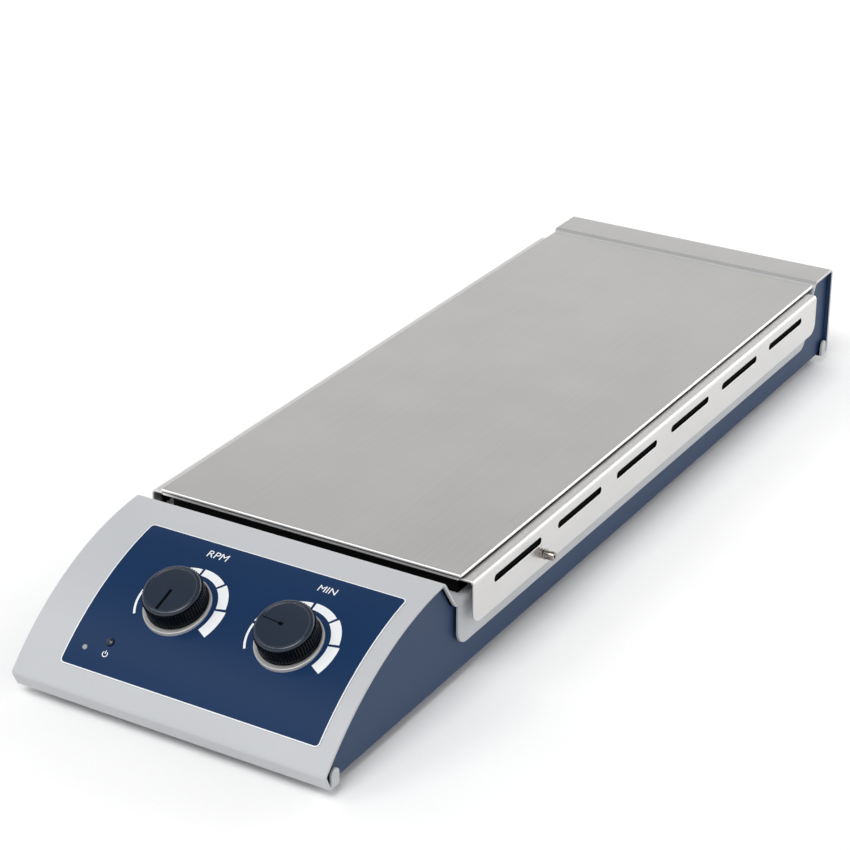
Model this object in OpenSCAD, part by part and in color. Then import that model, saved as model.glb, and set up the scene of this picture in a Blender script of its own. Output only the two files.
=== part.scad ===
// Ten-place magnetic stirrer: a bent sheet casing with a curved front panel, a slotted-rail top
// plate, and a belt drive that turns ten magnet carriers under the plate.
// Sizes are in millimetres. In the body frame x runs across, y runs from the foot of the curved
// panel towards the back, and z runs up from the underside of the pan.

/* [Casing] */
// Length of the casing from its nose to its rear wall
body_l = 579; // [565:1:620]
// Width of the painted cover
body_w = 181; // [170:1:200]
// Thickness of the cover's sheet
cover_t = 1.5; // [1.2:0.1:1.8]
// Thickness of the pan's sheet
pan_t = 1.2; // [0.8:0.1:1.6]
// Clearance between the cover and the pan under it
sheet_gap = 0.2; // [0.1:0.05:0.3]
// Gap between the cover's skirts and the pan's side walls
side_gap = 1.5; // [0.8:0.1:2]
// Radius of the small bends in the cover, on its outside
fold_r = 3; // [2.5:0.1:4]
// Radius of the hems at the foot of the nose and of the rear wall
hem_r = 2; // [1.9:0.1:3]
// Radius of the pan's two long bottom edges
pan_r = 2; // [1.7:0.1:4]
// Depth of the hems that turn in under the casing
return_l = 7; // [4:0.5:9]
// Depth of the stiffening flange behind the front hem
pan_flange_h = 10; // [6:0.5:12]

/* [Front panel] */
// Depth of the curved panel
fascia_d = 103.5; // [96:0.5:112]
// Height of the panel's top edge
fascia_top = 58.9; // [56:0.1:64]
// Height of the crease at the foot of the panel
nose_h = 10; // [8:0.5:13]
// Radius of that crease
nose_r = 2.5; // [2:0.1:4]
// Direction of the nose face, from the back's direction
nose_lean = 115; // [100:1:120]
// Radius of the panel's curve
fascia_r = 155.4; // [120:0.2:220]
// Width and height of the small tabs that turn up beside the hems
tab_w = 6.5; // [5:0.5:8]
// Height of those tabs
tab_h = 9.5; // [6:0.5:11]

/* [Recess and rear] */
// Height of the recess floor that carries the plate
floor_z = 41.9; // [40:0.1:46]
// Steepness of the recess's end walls
drop_a = 57; // [50:1:70]
// Height of the rear strip
rear_top = 56.3; // [54:0.1:62]
// Depth of the rear strip, with its bend
rear_d = 25; // [20:0.5:40]
// Height of the side skirts that hang from the recess floor
skirt_h = 24.7; // [18:0.1:28]
// Radius of a skirt's lower corners
skirt_r = 8; // [4:0.5:12]
// Radius of the bend between the recess floor and a skirt
skirt_bend = 2.4; // [2:0.1:3.5]

/* [Plate and rails] */
// Height of the rails' top strips above the recess floor
rail_stand = 10.7; // [9:0.1:14]
// Thickness of the rails' sheet
rail_t = 1.2; // [1:0.1:1.6]
// Gap between a rail's flange and the skirt
rail_gap = 4.3; // [3:0.1:6]
// Width of a rail's top strip
rail_strip_w = 21; // [18:0.5:26]
// Height of a rail's flange
rail_h = 24.2; // [20:0.1:28]
// Radius of a rail's bend
rail_bend_r = 2.4; // [1.8:0.1:3]
// Radius of a flange's lower corners
rail_corner_r = 7; // [3:0.5:9]
// Number of long slots in each flange
slot_count = 6; // [4:1:7]
// Height of a slot
slot_h = 3.9; // [2.5:0.1:5]
// Width of the web between two slots
slot_web = 17.9; // [12:0.1:24]
// Depth of the slots below the rail's top
slot_drop = 8.1; // [6.5:0.1:12]
// Distance from a rail's front end to the middle of its first slot
slot_front = 44.2; // [38:0.1:50]
// Distance from a rail's rear end to the middle of its last slot
slot_rear = 46.4; // [38:0.1:50]
// Width of the strip that shows beside the plate
ledge_w = 6.5; // [4:0.1:9]
// Height of the plate's face above the rails' strips
plate_rise = 2.5; // [2.2:0.1:4]
// Gap between the plate's side lips and the rails' strips
plate_slit = 1; // [0.5:0.1:1.2]
// Height of the plate's front lip
front_lip_h = 3.2; // [2:0.1:5]
// Thickness of the plate's sheet
plate_t = 1; // [0.8:0.1:1.2]
// Gap from the recess floor's front end to the plate's front edge
plate_front = 3.5; // [2:0.5:8]
// Gap between the plate's rear lip and the rising wall behind it
plate_rear = 0.6; // [0.4:0.1:4]
// Gap between the plate's front lip and the rails' front ends
rail_back = 0.5; // [0.3:0.1:2]
// Depth of a support bar under the plate
bar_d = 10; // [8:0.5:14]
// Radius of the studs welded under the plate
plate_stud_r = 2; // [1.5:0.1:2.5]
// Distance of the rail's slotted stud behind the rail's front end
stud_back = 67.5; // [40:0.5:100]
// Height of the slotted stud above the flange's lower edge
stud_up = 9; // [6:0.5:9.5]
// Radius of the slotted stud
stud_r = 2; // [1.5:0.1:2.4]
// Length of the stud that stands out of the rail
stud_out = 8; // [5:0.5:9]

/* [Controls] */
// Thickness of the printed film on the panel
film_t = 0.35; // [0.2:0.05:0.5]
// Thickness of the glue under the film
glue_t = 0.08; // [0.05:0.01:0.15]
// Grey margin to the left of the film
film_left = 23.5; // [18:0.5:28]
// Grey margin to the right of the film
film_right = 8.9; // [6:0.1:14]
// Distance from the panel's top edge down to the film, along the curve
film_down = 18; // [14:0.5:24]
// Length of the film down the curve
film_l = 88.6; // [86:0.2:92]
// Radius of the film's corners
film_r = 2.5; // [1:0.5:5]
// Distance between the two knobs
knob_pitch = 64.3; // [58:0.1:70]
// Place of the knobs' middle to the right of the film's middle
knob_shift = 2.7; // [-3:0.1:5]
// Distance of the knobs down the curve from the film's top
knob_down = 43; // [36:0.2:46]
// Radius of a knob's foot
knob_r = 15.8; // [14:0.1:17.5]
// Height of a knob
knob_h = 10.8; // [9.5:0.1:14]
// Number of grip ribs round a knob
knob_ribs = 86; // [40:1:100]
// Depth of a grip rib
rib_depth = 0.5; // [0.3:0.05:0.8]
// Radius of the silver bezel under a knob
bezel_r = 18; // [17.5:0.1:20]
// Height of the bezel at the knob's axis
bezel_h = 1.8; // [1.2:0.1:2.5]
// Radius of a control shaft
shaft_r = 3; // [2.5:0.1:3.5]
// Running clearance of shafts and plungers
run_gap = 0.05; // [0.02:0.01:0.08]
// Gap under a knob
knob_gap = 0.4; // [0.3:0.05:0.8]
// Distance of the lamp from the film's left edge
lamp_in = 9.9; // [8:0.1:12]
// Distance of the lamp down the curve from the film's top
lamp_down = 78; // [74:0.2:80]
// Radius of the lamp's lens
lamp_r = 1.4; // [1:0.1:1.6]
// Distance of the push button from the film's left edge
button_in = 21.8; // [20:0.1:26]
// Distance of the push button down the curve from the film's top
button_down = 72; // [68:0.2:76]
// Radius of the push button
button_r = 2; // [1.5:0.1:2.4]
// Travel of the push button
button_travel = 1; // [0.5:0.1:1.2]

/* [Drive] */
// Number of rows of stirring places
rows = 5; // [5:1:5]
// Distance from the plate's front and rear edges to the nearest row
row_in = 45.8; // [42:0.1:52]
// Distance from the plate's side edges to the nearest column
column_in = 44.5; // [42:0.5:47]
// Radius of a magnet carrier
rotor_r = 29; // [26:0.5:31]
// Thickness of a carrier's disc
disc_h = 6.5; // [6:0.1:8]
// Radius of a magnet
magnet_r = 8; // [6:0.1:8.5]
// Height of a magnet
magnet_h = 5.2; // [4:0.1:5.5]
// Distance of a magnet from the carrier's axis
magnet_at = 18; // [17:0.1:19]
// Pitch radius of a carrier's pulley
carrier_pitch_r = 15; // [14:0.1:16]
// Pitch radius of the motor's pulley
motor_pitch_r = 7.5; // [7:0.1:9]
// Width of a drive belt
belt_w = 4; // [3:0.1:4.5]
// Thickness of a drive belt
belt_t = 1.2; // [0.8:0.1:1.6]
// Clearance between a belt and its pulleys
belt_gap = 0.3; // [0.3:0.05:0.5]
// Thickness of a pulley's flanges
flange_t = 1.2; // [1:0.1:1.6]
// Radius of a carrier's stud
axle_r = 3; // [2.5:0.1:3.5]
// Gap between the carriers and the recess floor
carrier_gap = 3.7; // [3.4:0.1:5]
// Thickness of the drive deck
deck_t = 2; // [1.5:0.1:2.5]
// Distance of the motor in front of the first row
motor_ahead = 62; // [60:0.5:66]
// Radius of the motor's bell
bell_r = 27; // [24:0.5:29]

/* [Boards, inlet and feet] */
// Height of the circuit boards above the pan
board_lift = 7.8; // [7:0.1:9]
// Depth of a circuit board
board_d = 50; // [46:0.5:52]
// Thickness of a circuit board
board_t = 1.6; // [1:0.1:2]
// Height of the mains inlet's middle
inlet_z = 30; // [26:0.5:34]
// Thickness of the inlet's flange
inlet_t = 2.5; // [2:0.1:3.5]
// Width of the inlet's hollow
inlet_w = 24; // [22:0.5:26]
// Height of the inlet's hollow
inlet_h = 16; // [15:0.5:17]
// Depth of the inlet's hollow
inlet_depth = 17; // [16:0.5:19]
// Radius of a foot
foot_r = 9; // [7:0.5:11]
// Height of a foot
foot_h = 5; // [4:0.1:7]
// Distance of the feet from the casing's sides
foot_in = 25; // [20:0.5:30]
// Distance of the feet from the casing's ends
foot_end = 40; // [34:1:44]

/* [Hidden] */
$fn = 64;
fine = 180;
eps = 0.01;
// Straight runs of sheet lap the bends by this much, and bends are thinner by twice the skim
lap = 0.02;
skim = 0.002;

// Colours of the finishes
grey_paint = "#bcbfc3";
navy_coat = "#48566b";
steel = "#c4c4c2";
rail_steel = "#d2d2d0";
film_navy = "#24406a";
knob_black = "#2b323c";
black_plastic = "#202225";
zinc = "#a9acb0";
board_green = "#2f6b4a";
acetal = "#e6e4dc";
rubber = "#1b1b1c";

// The panel's arc passes through its foot and its top edge
fascia_rise = fascia_top - nose_h;
chord = sqrt(fascia_d * fascia_d + fascia_rise * fascia_rise);
arc_drop = sqrt(fascia_r * fascia_r - chord * chord / 4);
arc_c = [
    fascia_d / 2 + arc_drop * fascia_rise / chord,
    (nose_h + fascia_top) / 2 - arc_drop * fascia_d / chord
];
a_foot = atan2(nose_h - arc_c[1], -arc_c[0]);
a_top = atan2(fascia_top - arc_c[1], fascia_d - arc_c[0]);

// The nose below the panel: crease, leaning face, hem
foot_dir = a_foot - 90;
top_dir = a_top - 90;
crease = nose_r * [sin(foot_dir) - sin(nose_lean), cos(nose_lean) - cos(foot_dir)];
face_top = [crease[0], nose_h + crease[1]];
face_low_z = hem_r * (1 + cos(nose_lean));
face_l = (face_top[1] - face_low_z) / sin(nose_lean);
face_low_y = face_top[0] - face_l * cos(nose_lean);
hem_y = face_low_y + hem_r * sin(nose_lean);
y_front = nose_r * sin(foot_dir) - nose_r;
y_rear = y_front + body_l;
y_mid = (y_front + y_rear + inlet_t) / 2;

// The recess's end walls
drop_l = (fascia_top - floor_z - fold_r * (1 + cos(top_dir) - 2 * cos(drop_a))) / sin(drop_a);
drop_top_y = fascia_d + fold_r * (sin(top_dir) + sin(drop_a));
drop_top_z = fascia_top + fold_r * (cos(drop_a) - cos(top_dir));
floor_y0 = drop_top_y + drop_l * cos(drop_a) + fold_r * sin(drop_a);
rise_l = (rear_top - floor_z - 2 * fold_r * (1 - cos(drop_a))) / sin(drop_a);
rise_d = 2 * fold_r * sin(drop_a) + rise_l * cos(drop_a);
floor_y1 = y_rear - rear_d - rise_d;

// Sheet spaces: inner face of the cover and faces of the pan
skin = cover_t + sheet_gap;
pan_half = body_w / 2 - cover_t - side_gap;
in_half = pan_half - pan_t;
hem_end = hem_y + return_l;
rear_hem_end = y_rear - hem_r - return_l;

// Plate, rails and what carries them
rail_top = floor_z + rail_stand;
rail_half = body_w / 2 + rail_gap + rail_t;
plate_half = rail_half - ledge_w;
plate_top = rail_top + plate_rise;
lip_low = rail_top + plate_slit;
plate_y0 = floor_y0 + plate_front;
plate_y1 = floor_y1 + fold_r * tan(drop_a / 2) + (lip_low - floor_z) / tan(drop_a) - plate_rear;
plate_y = (plate_y0 + plate_y1) / 2;
row_pitch = (plate_y1 - plate_y0 - 2 * row_in) / (rows - 1);
rail_y0 = plate_y0 + plate_t + rail_back;
slot_pitch = (floor_y1 - rail_y0 - slot_front - slot_rear) / (slot_count - 1);
slot_l = slot_pitch - slot_web;
strip_in = rail_half - rail_strip_w;
bar_ys = [
    plate_y0 + bar_d,
    plate_y - row_pitch / 2,
    plate_y + row_pitch / 2,
    floor_y1 - bar_d
];
rail_screw_x = strip_in + 6;
rail_screw_r = 1.5;
screw_head_h = 1;
stud_y = rail_y0 + stud_back;
stud_z = rail_top - rail_h + stud_up;
stud_nut_h = 2.4;

// Film and controls
film_w = body_w - film_left - film_right;
film_x = (film_left - film_right) / 2;
film_x0 = film_x - film_w / 2;
film_top = glue_t + film_t;
knob_xs = [film_x + knob_shift - knob_pitch / 2, film_x + knob_shift + knob_pitch / 2];
knob_s = film_down + knob_down;
bushing_r = shaft_r + 1.5;
bushing_top = bezel_h + 5;
pot_r = 8.5;
pot_l = 9;
pot_face = -(cover_t + 0.3);
nut_h = 2.5;
nut_r = 8;
knob_z = bezel_h + knob_gap;
knob_top = knob_z + knob_h;
dish = 0.25;
dish_r = knob_r - 3.2;
speed_turn = 175;
time_turn = 84;

// Drive heights, worked down from the recess floor
carrier_top = floor_z - cover_t - carrier_gap;
groove_h = belt_w + 1;
hub_h = 3 * flange_t + 2 * groove_h - flange_t;
carrier_z = carrier_top - disc_h - hub_h;
axle_shoulder = 1.5;
deck_top = carrier_z - 0.3 - axle_shoulder;
deck_z = deck_top - deck_t;
groove_a = carrier_z + flange_t + groove_h / 2;
groove_b = groove_a + groove_h + flange_t;
clip_h = 0.7;
axle_top = carrier_top + 2 * clip_h + 0.6;
row_y = [for (i = [0:rows - 1]) plate_y0 + row_in + i * row_pitch];
column_x = plate_half - column_in;
places = [for (side = [-1, 1]) for (i = [0:rows - 1]) [side * column_x, row_y[i]]];
motor_at = [0, row_y[0] - motor_ahead];
motor_shaft_r = 2.5;
bearing_r = 6;
bell_low = pan_t + 1.2;
stator_t = 3;
deck_half = in_half - 7;
deck_y0 = motor_at[1] - bell_r - 8;
deck_y1 = row_y[rows - 1] + rotor_r + 3;
pillar_ys = [deck_y0 + 8, plate_y - row_pitch / 2, deck_y1 - 8];
pillar_x = deck_half - 8;

// Boards
board_z = pan_t + board_lift;
board_y = hem_end + 6;
board_w = in_half - 12;
// Components are drawn for a board 50 deep and grow with it
board_k = board_d / 50;

// Inlet
inlet_wall = 1.6;
inlet_ear = 20;
inlet_screw_r = 1.5;
pin_mouth = 5;
cover_screw_x = pan_half - 11;
cover_screw_zs = [12, rear_top - 14];

// Places a part in the model's frame: on its feet, centred on the floor it covers
module placed() {
    translate([0, -y_mid, foot_h]) children();
}

// Draws a side profile across the width
module across(w) {
    rotate([90, 0, 90]) linear_extrude(w, center = true) children();
}

// Draws a front profile along the length, from y0 to y1
module along(y0, y1) {
    translate([0, y1, 0]) rotate([90, 0, 0]) linear_extrude(y1 - y0) children();
}

// A place on the panel, s along the curve below its top edge, with z out of the panel
module on_panel(x, s) {
    a = a_top + s / fascia_r * 180 / PI;
    translate([x, arc_c[0] + fascia_r * cos(a), arc_c[1] + fascia_r * sin(a)])
        rotate([a - 90, 0, 0]) children();
}

// The cylinder that the panel's curve lies on, as seen from a place on the panel
module panel_cylinder(r, w) {
    translate([0, 0, -fascia_r]) rotate([0, 90, 0]) cylinder(r = r, h = w, center = true, $fn = fine);
}

// A bend's ring sector, from the line of x = 0 through the turn
module bend_band(r0, r1, turn, n) {
    reach = 2 * r1;
    intersection() {
        difference() {
            circle(r1, $fn = n);
            circle(r0, $fn = n);
        }
        translate([0, -reach]) square([reach, 2 * reach]);
        rotate(turn) translate([-reach, -reach]) square([reach, 2 * reach]);
    }
}

// A bent strip of sheet: each step goes straight on and then turns at a radius, left if positive.
// The path is the outside of the sheet, and the sheet lies on the right of it.
module bent_strip(steps, t, i = 0) {
    if (i < len(steps)) {
        run = steps[i][0];
        turn = steps[i][1];
        r = steps[i][2];
        side = turn < 0 ? -1 : 1;
        translate([-lap, -t]) square([run + 2 * lap, t]);
        translate([run, side * r]) {
            if (turn < 0)
                bend_band(r - t + skim, r - skim, turn, r > 20 ? fine : 48);
            if (turn > 0)
                bend_band(r + skim, r + t - skim, turn, 48);
            rotate(turn) translate([0, -side * r]) bent_strip(steps, t, i + 1);
        }
    }
}

module rounded_rect(w, h, r) {
    square([w - 2 * r, h], center = true);
    square([w, h - 2 * r], center = true);
    for (x = [-1, 1])
        for (y = [-1, 1])
            translate([x * (w / 2 - r), y * (h / 2 - r)]) circle(r);
}

// A plate edge with square upper corners and round lower ones, hung from z1
module hung_plate(y0, y1, z0, z1, r) {
    h = z1 - z0;
    translate([(y0 + y1) / 2, (z0 + z1) / 2]) {
        rounded_rect(y1 - y0, h, r);
        translate([-(y1 - y0) / 2, 0]) square([y1 - y0, h / 2]);
    }
}

// The cover's side profile
module cover_profile() {
    translate([hem_end, 0]) rotate(180) bent_strip([
        [return_l, -(180 - nose_lean), hem_r],
        [face_l, -(nose_lean - foot_dir), nose_r],
        [0, -(a_foot - a_top), fascia_r],
        [0, -(top_dir + drop_a), fold_r],
        [drop_l, drop_a, fold_r],
        [floor_y1 - floor_y0, drop_a, fold_r],
        [rise_l, -drop_a, fold_r],
        [rear_d - fold_r, -90, fold_r],
        [rear_top - fold_r - hem_r, -90, hem_r],
        [return_l, 0, 0]
    ], cover_t);
}

// The space under the cover, which the pan's side walls fill
module under_cover_profile() {
    in_r = fascia_r - skin;
    face_out = skin * [sin(nose_lean), -cos(nose_lean)];
    low = [face_low_y, face_low_z] + face_out;
    high = face_top + face_out;
    wall = skin * [sin(drop_a), cos(drop_a)];
    drop_up = [drop_top_y, drop_top_z] - wall;
    drop_low_y = drop_up[0] + (drop_up[1] - floor_z + skin) / tan(drop_a);
    roof = fascia_top - skin - 0.4;
    roof_y = drop_up[0] - (roof - drop_up[1]) / tan(drop_a);
    rise_y = floor_y1 + fold_r * tan(drop_a / 2) + skin / sin(drop_a) - skin / tan(drop_a);
    rear_roof = rear_top - skin - 0.9;
    rear_roof_y = rise_y + (rear_roof - floor_z + skin) / tan(drop_a);
    rear_in = y_rear - skin;
    difference() {
        union() {
            intersection() {
                translate(arc_c) circle(in_r, $fn = fine);
                polygon([
                    [low[0] - (low[1] + 2) / tan(nose_lean), -2],
                    [high[0] + (roof - high[1]) / tan(nose_lean), roof],
                    [roof_y, roof],
                    [drop_low_y, floor_z - skin],
                    [drop_low_y, -2]
                ]);
            }
            translate([drop_low_y - 1, -2]) square([rise_y - drop_low_y + 2, floor_z - skin + 2]);
            polygon([
                [rise_y, -2],
                [rise_y, floor_z - skin],
                [rear_roof_y, rear_roof],
                [rear_in, rear_roof],
                [rear_in, -2]
            ]);
        }
        translate([y_front - 5, -5]) square([hem_end + sheet_gap - y_front + 5, 5 + skin]);
        translate([rear_hem_end - sheet_gap, -5]) square([return_l + hem_r + 5, 5 + skin]);
    }
}

// A hole square to the panel, right through the cover and the film
module panel_hole(x, s, r) {
    on_panel(x, s) cylinder(r = r, h = 12, center = true);
}

module rear_hole(x, z, r) {
    translate([x, y_rear, z]) rotate([90, 0, 0]) cylinder(r = r, h = 12, center = true);
}

module inlet_cut(gap) {
    w = inlet_w + 2 * (inlet_wall + gap);
    h = inlet_h + 2 * (inlet_wall + gap);
    translate([-w / 2, y_rear - 6, inlet_z - h / 2]) cube([w, 12, h]);
}

// Holes that the cover's rear wall and the pan's rear wall share
module rear_holes() {
    inlet_cut(0.2);
    for (x = [-1, 1])
        rear_hole(x * inlet_ear, inlet_z, inlet_screw_r + 0.1);
    for (x = [-1, 1])
        for (z = cover_screw_zs)
            rear_hole(x * cover_screw_x, z, 1.6);
}

// Holes for the rails' slotted studs, through the rail, the skirt and the pan
module stud_holes() {
    translate([0, stud_y, stud_z]) rotate([0, 90, 0])
        cylinder(r = stud_r - 0.4, h = 2 * rail_half + 10, center = true);
}

module top_cover() {
    color(grey_paint) placed() difference() {
        union() {
            across(body_w) cover_profile();
            for (x = [-1, 1]) {
                translate([x * (body_w - cover_t) / 2, 0, 0]) across(cover_t) {
                    hung_plate(floor_y0, floor_y1, floor_z - skirt_h, floor_z - cover_t / 2, skirt_r);
                    side_tab(hem_end - tab_w);
                    side_tab(rear_hem_end);
                }
            }
        }
        for (side = [0, 1])
            mirror([side, 0, 0]) skirt_bend_cut();
        for (x = knob_xs)
            panel_hole(x, knob_s, bushing_r + 0.1);
        panel_hole(film_x0 + lamp_in, film_down + lamp_down, lamp_r + 0.1);
        panel_hole(film_x0 + button_in, film_down + button_down, button_r + 1.1);
        for (y = bar_ys)
            translate([0, y, floor_z]) cylinder(r = plate_stud_r + 0.2, h = 8, center = true);
        stud_holes();
        rear_holes();
    }
}

// What the bend between the recess floor and a skirt takes off their corner, with a small relief at its ends
module skirt_bend_cut() {
    relief = 0.6;
    along(floor_y0 - relief, floor_y1 + relief) translate([body_w / 2 - skirt_bend, floor_z - skirt_bend])
        difference() {
            square(skirt_bend + 1);
            circle(skirt_bend + skim);
        }
}

// A small tab with a round top, beside a hem
module side_tab(y) {
    r = tab_w / 2;
    translate([y, 0]) square([tab_w, tab_h - r]);
    translate([y + r, tab_h - r]) circle(r);
}

module base_pan() {
    wall_top = fascia_top + 5;
    color(navy_coat) placed() difference() {
        union() {
            intersection() {
                along(y_front, y_rear) translate([pan_half, wall_top]) rotate(-90) bent_strip([
                    [wall_top - pan_r, -90, pan_r],
                    [2 * (pan_half - pan_r), -90, pan_r],
                    [wall_top - pan_r, 0, 0]
                ], pan_t);
                across(2 * body_w) under_cover_profile();
            }
            translate([-in_half - 0.3, y_rear - skin - 0.1 - pan_t, skin + 0.3])
                cube([2 * in_half + 0.6, pan_t, rear_top - 2 * skin - 0.9]);
            translate([-in_half - 0.3, hem_end + sheet_gap + 0.5, pan_t / 2])
                cube([2 * in_half + 0.6, pan_t, pan_flange_h]);
        }
        stud_holes();
        rear_holes();
        at_feet() cylinder(r = 2.1, h = 10, center = true);
    }
}

module at_feet() {
    for (x = [-1, 1])
        for (y = [y_front + foot_end, y_rear - foot_end])
            translate([x * (body_w / 2 - foot_in), y, 0]) children();
}

module feet() {
    head_z = foot_h / 2;
    color(rubber) placed() at_feet() translate([0, 0, -foot_h]) rotate_extrude()
        polygon([
            [4, 0], [foot_r - 1.5, 0], [foot_r - 0.8, 0.7], [foot_r, foot_h],
            [2.1, foot_h], [2.1, head_z], [4, head_z]
        ]);
}

module foot_screws() {
    head_h = foot_h / 2 - 0.6;
    color(zinc) placed() at_feet() translate([0, 0, -foot_h / 2]) {
        translate([0, 0, -head_h]) cylinder(r = 3.6, h = head_h);
        cylinder(r = 2, h = foot_h / 2 + pan_t + 3);
    }
}

module cover_screws() {
    color(zinc) placed()
        for (x = [-1, 1])
            for (z = cover_screw_zs)
                translate([x * cover_screw_x, y_rear + eps, z]) rotate([-90, 0, 0]) {
                    rotate_extrude() polygon([[0, 0], [2.8, 0], [2.8, 0.9], [1.8, 1.7], [0, 1.9]]);
                    translate([0, 0, -7]) cylinder(r = 1.5, h = 7 + eps);
                }
}

// Plate: a shallow tray with folded lips, on studs that pass through the support bars
module top_plate() {
    l = plate_y1 - plate_y0;
    stud_l = plate_top - plate_t - floor_z + cover_t + 4.2;
    color(steel) placed() {
        difference() {
            translate([0, plate_y, lip_low]) linear_extrude(plate_top - lip_low)
                rounded_rect(2 * plate_half, l, 1.5);
            translate([0, plate_y, lip_low - 1]) linear_extrude(plate_top - plate_t - lip_low + 1)
                square([2 * (plate_half - plate_t), l - 2 * plate_t], center = true);
        }
        translate([-plate_half + 1.5, plate_y0 + lap, plate_top - front_lip_h])
            cube([2 * plate_half - 3, plate_t - 2 * lap, front_lip_h - plate_t / 2]);
        for (y = bar_ys)
            translate([0, y, plate_top - plate_t - stud_l]) cylinder(r = plate_stud_r, h = stud_l + eps);
    }
}

module plate_supports() {
    low = floor_z + eps;
    color(black_plastic) placed()
        for (y = bar_ys)
            translate([0, y, 0]) difference() {
                union() {
                    translate([-strip_in - 10, -bar_d / 2, low])
                        cube([2 * strip_in + 20, bar_d, rail_top - rail_t - low]);
                    translate([-strip_in + 0.5, -bar_d / 2, low])
                        cube([2 * strip_in - 1, bar_d, plate_top - plate_t - low]);
                }
                translate([0, 0, low - 1]) cylinder(r = plate_stud_r + 0.1, h = 30);
                for (x = [-1, 1])
                    translate([x * rail_screw_x, 0, rail_top - 8]) cylinder(r = rail_screw_r, h = 20);
            }
}

module plate_nuts() {
    color(zinc) placed()
        for (y = bar_ys)
            translate([0, y, floor_z - cover_t - eps - 3]) difference() {
                cylinder(r = 2 * plate_stud_r, h = 3, $fn = 6);
                translate([0, 0, -1]) cylinder(r = plate_stud_r + 0.02, h = 6);
            }
}

module rail_screws() {
    color(zinc) placed()
        for (x = [-1, 1])
            for (y = bar_ys)
                translate([x * rail_screw_x, y, rail_top]) {
                    cylinder(r = 2.7, h = screw_head_h);
                    translate([0, 0, -7]) cylinder(r = rail_screw_r - 0.02, h = 7 + eps);
                }
}

// Rail on one side: an L with long slots in its flange
module rail(side) {
    first = rail_y0 + slot_front;
    low = rail_top - rail_h;
    color(rail_steel) placed() mirror([side < 0 ? 1 : 0, 0, 0]) difference() {
        intersection() {
            along(rail_y0, floor_y1) translate([strip_in, rail_top]) bent_strip([
                [rail_strip_w - rail_bend_r, -90, rail_bend_r],
                [rail_h - rail_bend_r, 0, 0]
            ], rail_t);
            across(4 * rail_half) hung_plate(rail_y0, floor_y1, low, rail_top, rail_corner_r);
        }
        for (i = [0:slot_count - 1])
            translate([rail_half, first + i * slot_pitch, rail_top - slot_drop]) across(10)
                rounded_rect(slot_l, slot_h, slot_h / 2 - eps);
        translate([rail_half, stud_y, stud_z]) rotate([0, 90, 0])
            cylinder(r = stud_r - 0.4, h = 8, center = true);
        for (y = bar_ys)
            translate([rail_screw_x, y, rail_top]) cylinder(r = rail_screw_r + 0.1, h = 8, center = true);
    }
}

module left_rail() {
    rail(-1);
}

module right_rail() {
    rail(1);
}

// Slotted stud: collar and slotted end outside the rail, spacer shoulder behind it
module rail_studs() {
    shank_r = stud_r - 0.45;
    reach = rail_half - in_half + 4;
    color(zinc) placed()
        for (side = [-1, 1])
            translate([side * rail_half, stud_y, stud_z]) rotate([0, side * 90, 0]) {
                difference() {
                    rotate_extrude() polygon([
                        [0, 0], [stud_r + 1, 0], [stud_r + 1, 1.4], [stud_r, 1.8],
                        [stud_r, stud_out - 0.4], [stud_r - 0.4, stud_out], [0, stud_out]
                    ]);
                    translate([-0.4, -stud_r - 1, stud_out - 1.6]) cube([0.8, 2 * stud_r + 2, 3]);
                }
                translate([0, 0, -reach]) cylinder(r = shank_r, h = reach + eps);
                translate([0, 0, -rail_t - rail_gap]) cylinder(r = stud_r + 1, h = rail_gap);
            }
}

module rail_nuts() {
    color(zinc) placed()
        for (side = [-1, 1])
            translate([side * in_half, stud_y, stud_z]) rotate([0, -side * 90, 0]) difference() {
                rotate(30) cylinder(r = 2.9, h = stud_nut_h, $fn = 6);
                translate([0, 0, -1]) cylinder(r = stud_r - 0.43, h = 6);
            }
}

module panel_overlay() {
    half = film_l / 2 / fascia_r * 180 / PI;
    mid = film_down + film_l / 2;
    color(film_navy) placed() difference() {
        on_panel(film_x, mid) intersection() {
            difference() {
                panel_cylinder(fascia_r + film_top, film_w + 10);
                panel_cylinder(fascia_r + glue_t, film_w + 20);
            }
            translate([0, 0, -20]) linear_extrude(30)
                rounded_rect(film_w, 2 * fascia_r * sin(half), film_r);
        }
        for (x = knob_xs)
            panel_hole(x, knob_s, bushing_r + 0.1);
        panel_hole(film_x0 + lamp_in, film_down + lamp_down, lamp_r + 0.1);
        panel_hole(film_x0 + button_in, film_down + button_down, button_r + 0.2);
    }
}

// Bezel: a flat silver disc whose underside follows the panel's curve
module knob_bezels() {
    color(steel) placed()
        for (x = knob_xs)
            on_panel(x, knob_s) difference() {
                translate([0, 0, -3]) rotate_extrude() polygon([
                    [bushing_r + 0.1, 0], [bezel_r, 0], [bezel_r, bezel_h + 2.6],
                    [bezel_r - 0.4, bezel_h + 3], [bushing_r + 0.1, bezel_h + 3]
                ]);
                panel_cylinder(fascia_r + film_top + 0.05, 60);
            }
}

module pot_bodies() {
    color(zinc) placed()
        for (x = knob_xs)
            on_panel(x, knob_s) difference() {
                union() {
                    translate([0, 0, pot_face - pot_l]) cylinder(r = pot_r, h = pot_l);
                    translate([0, 0, pot_face - eps]) cylinder(r = bushing_r, h = bushing_top - pot_face);
                    translate([-6, -pot_r - 4, pot_face - pot_l + 1]) cube([12, 8, 2]);
                }
                translate([0, 0, pot_face - pot_l + 2]) cylinder(r = shaft_r + run_gap, h = 30);
            }
}

module pot_nuts() {
    color(zinc) placed()
        for (x = knob_xs)
            on_panel(x, knob_s) translate([0, 0, bezel_h]) difference() {
                cylinder(r = nut_r, h = nut_h, $fn = 6);
                translate([0, 0, -1]) cylinder(r = bushing_r + 0.02, h = 8);
            }
}

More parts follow.
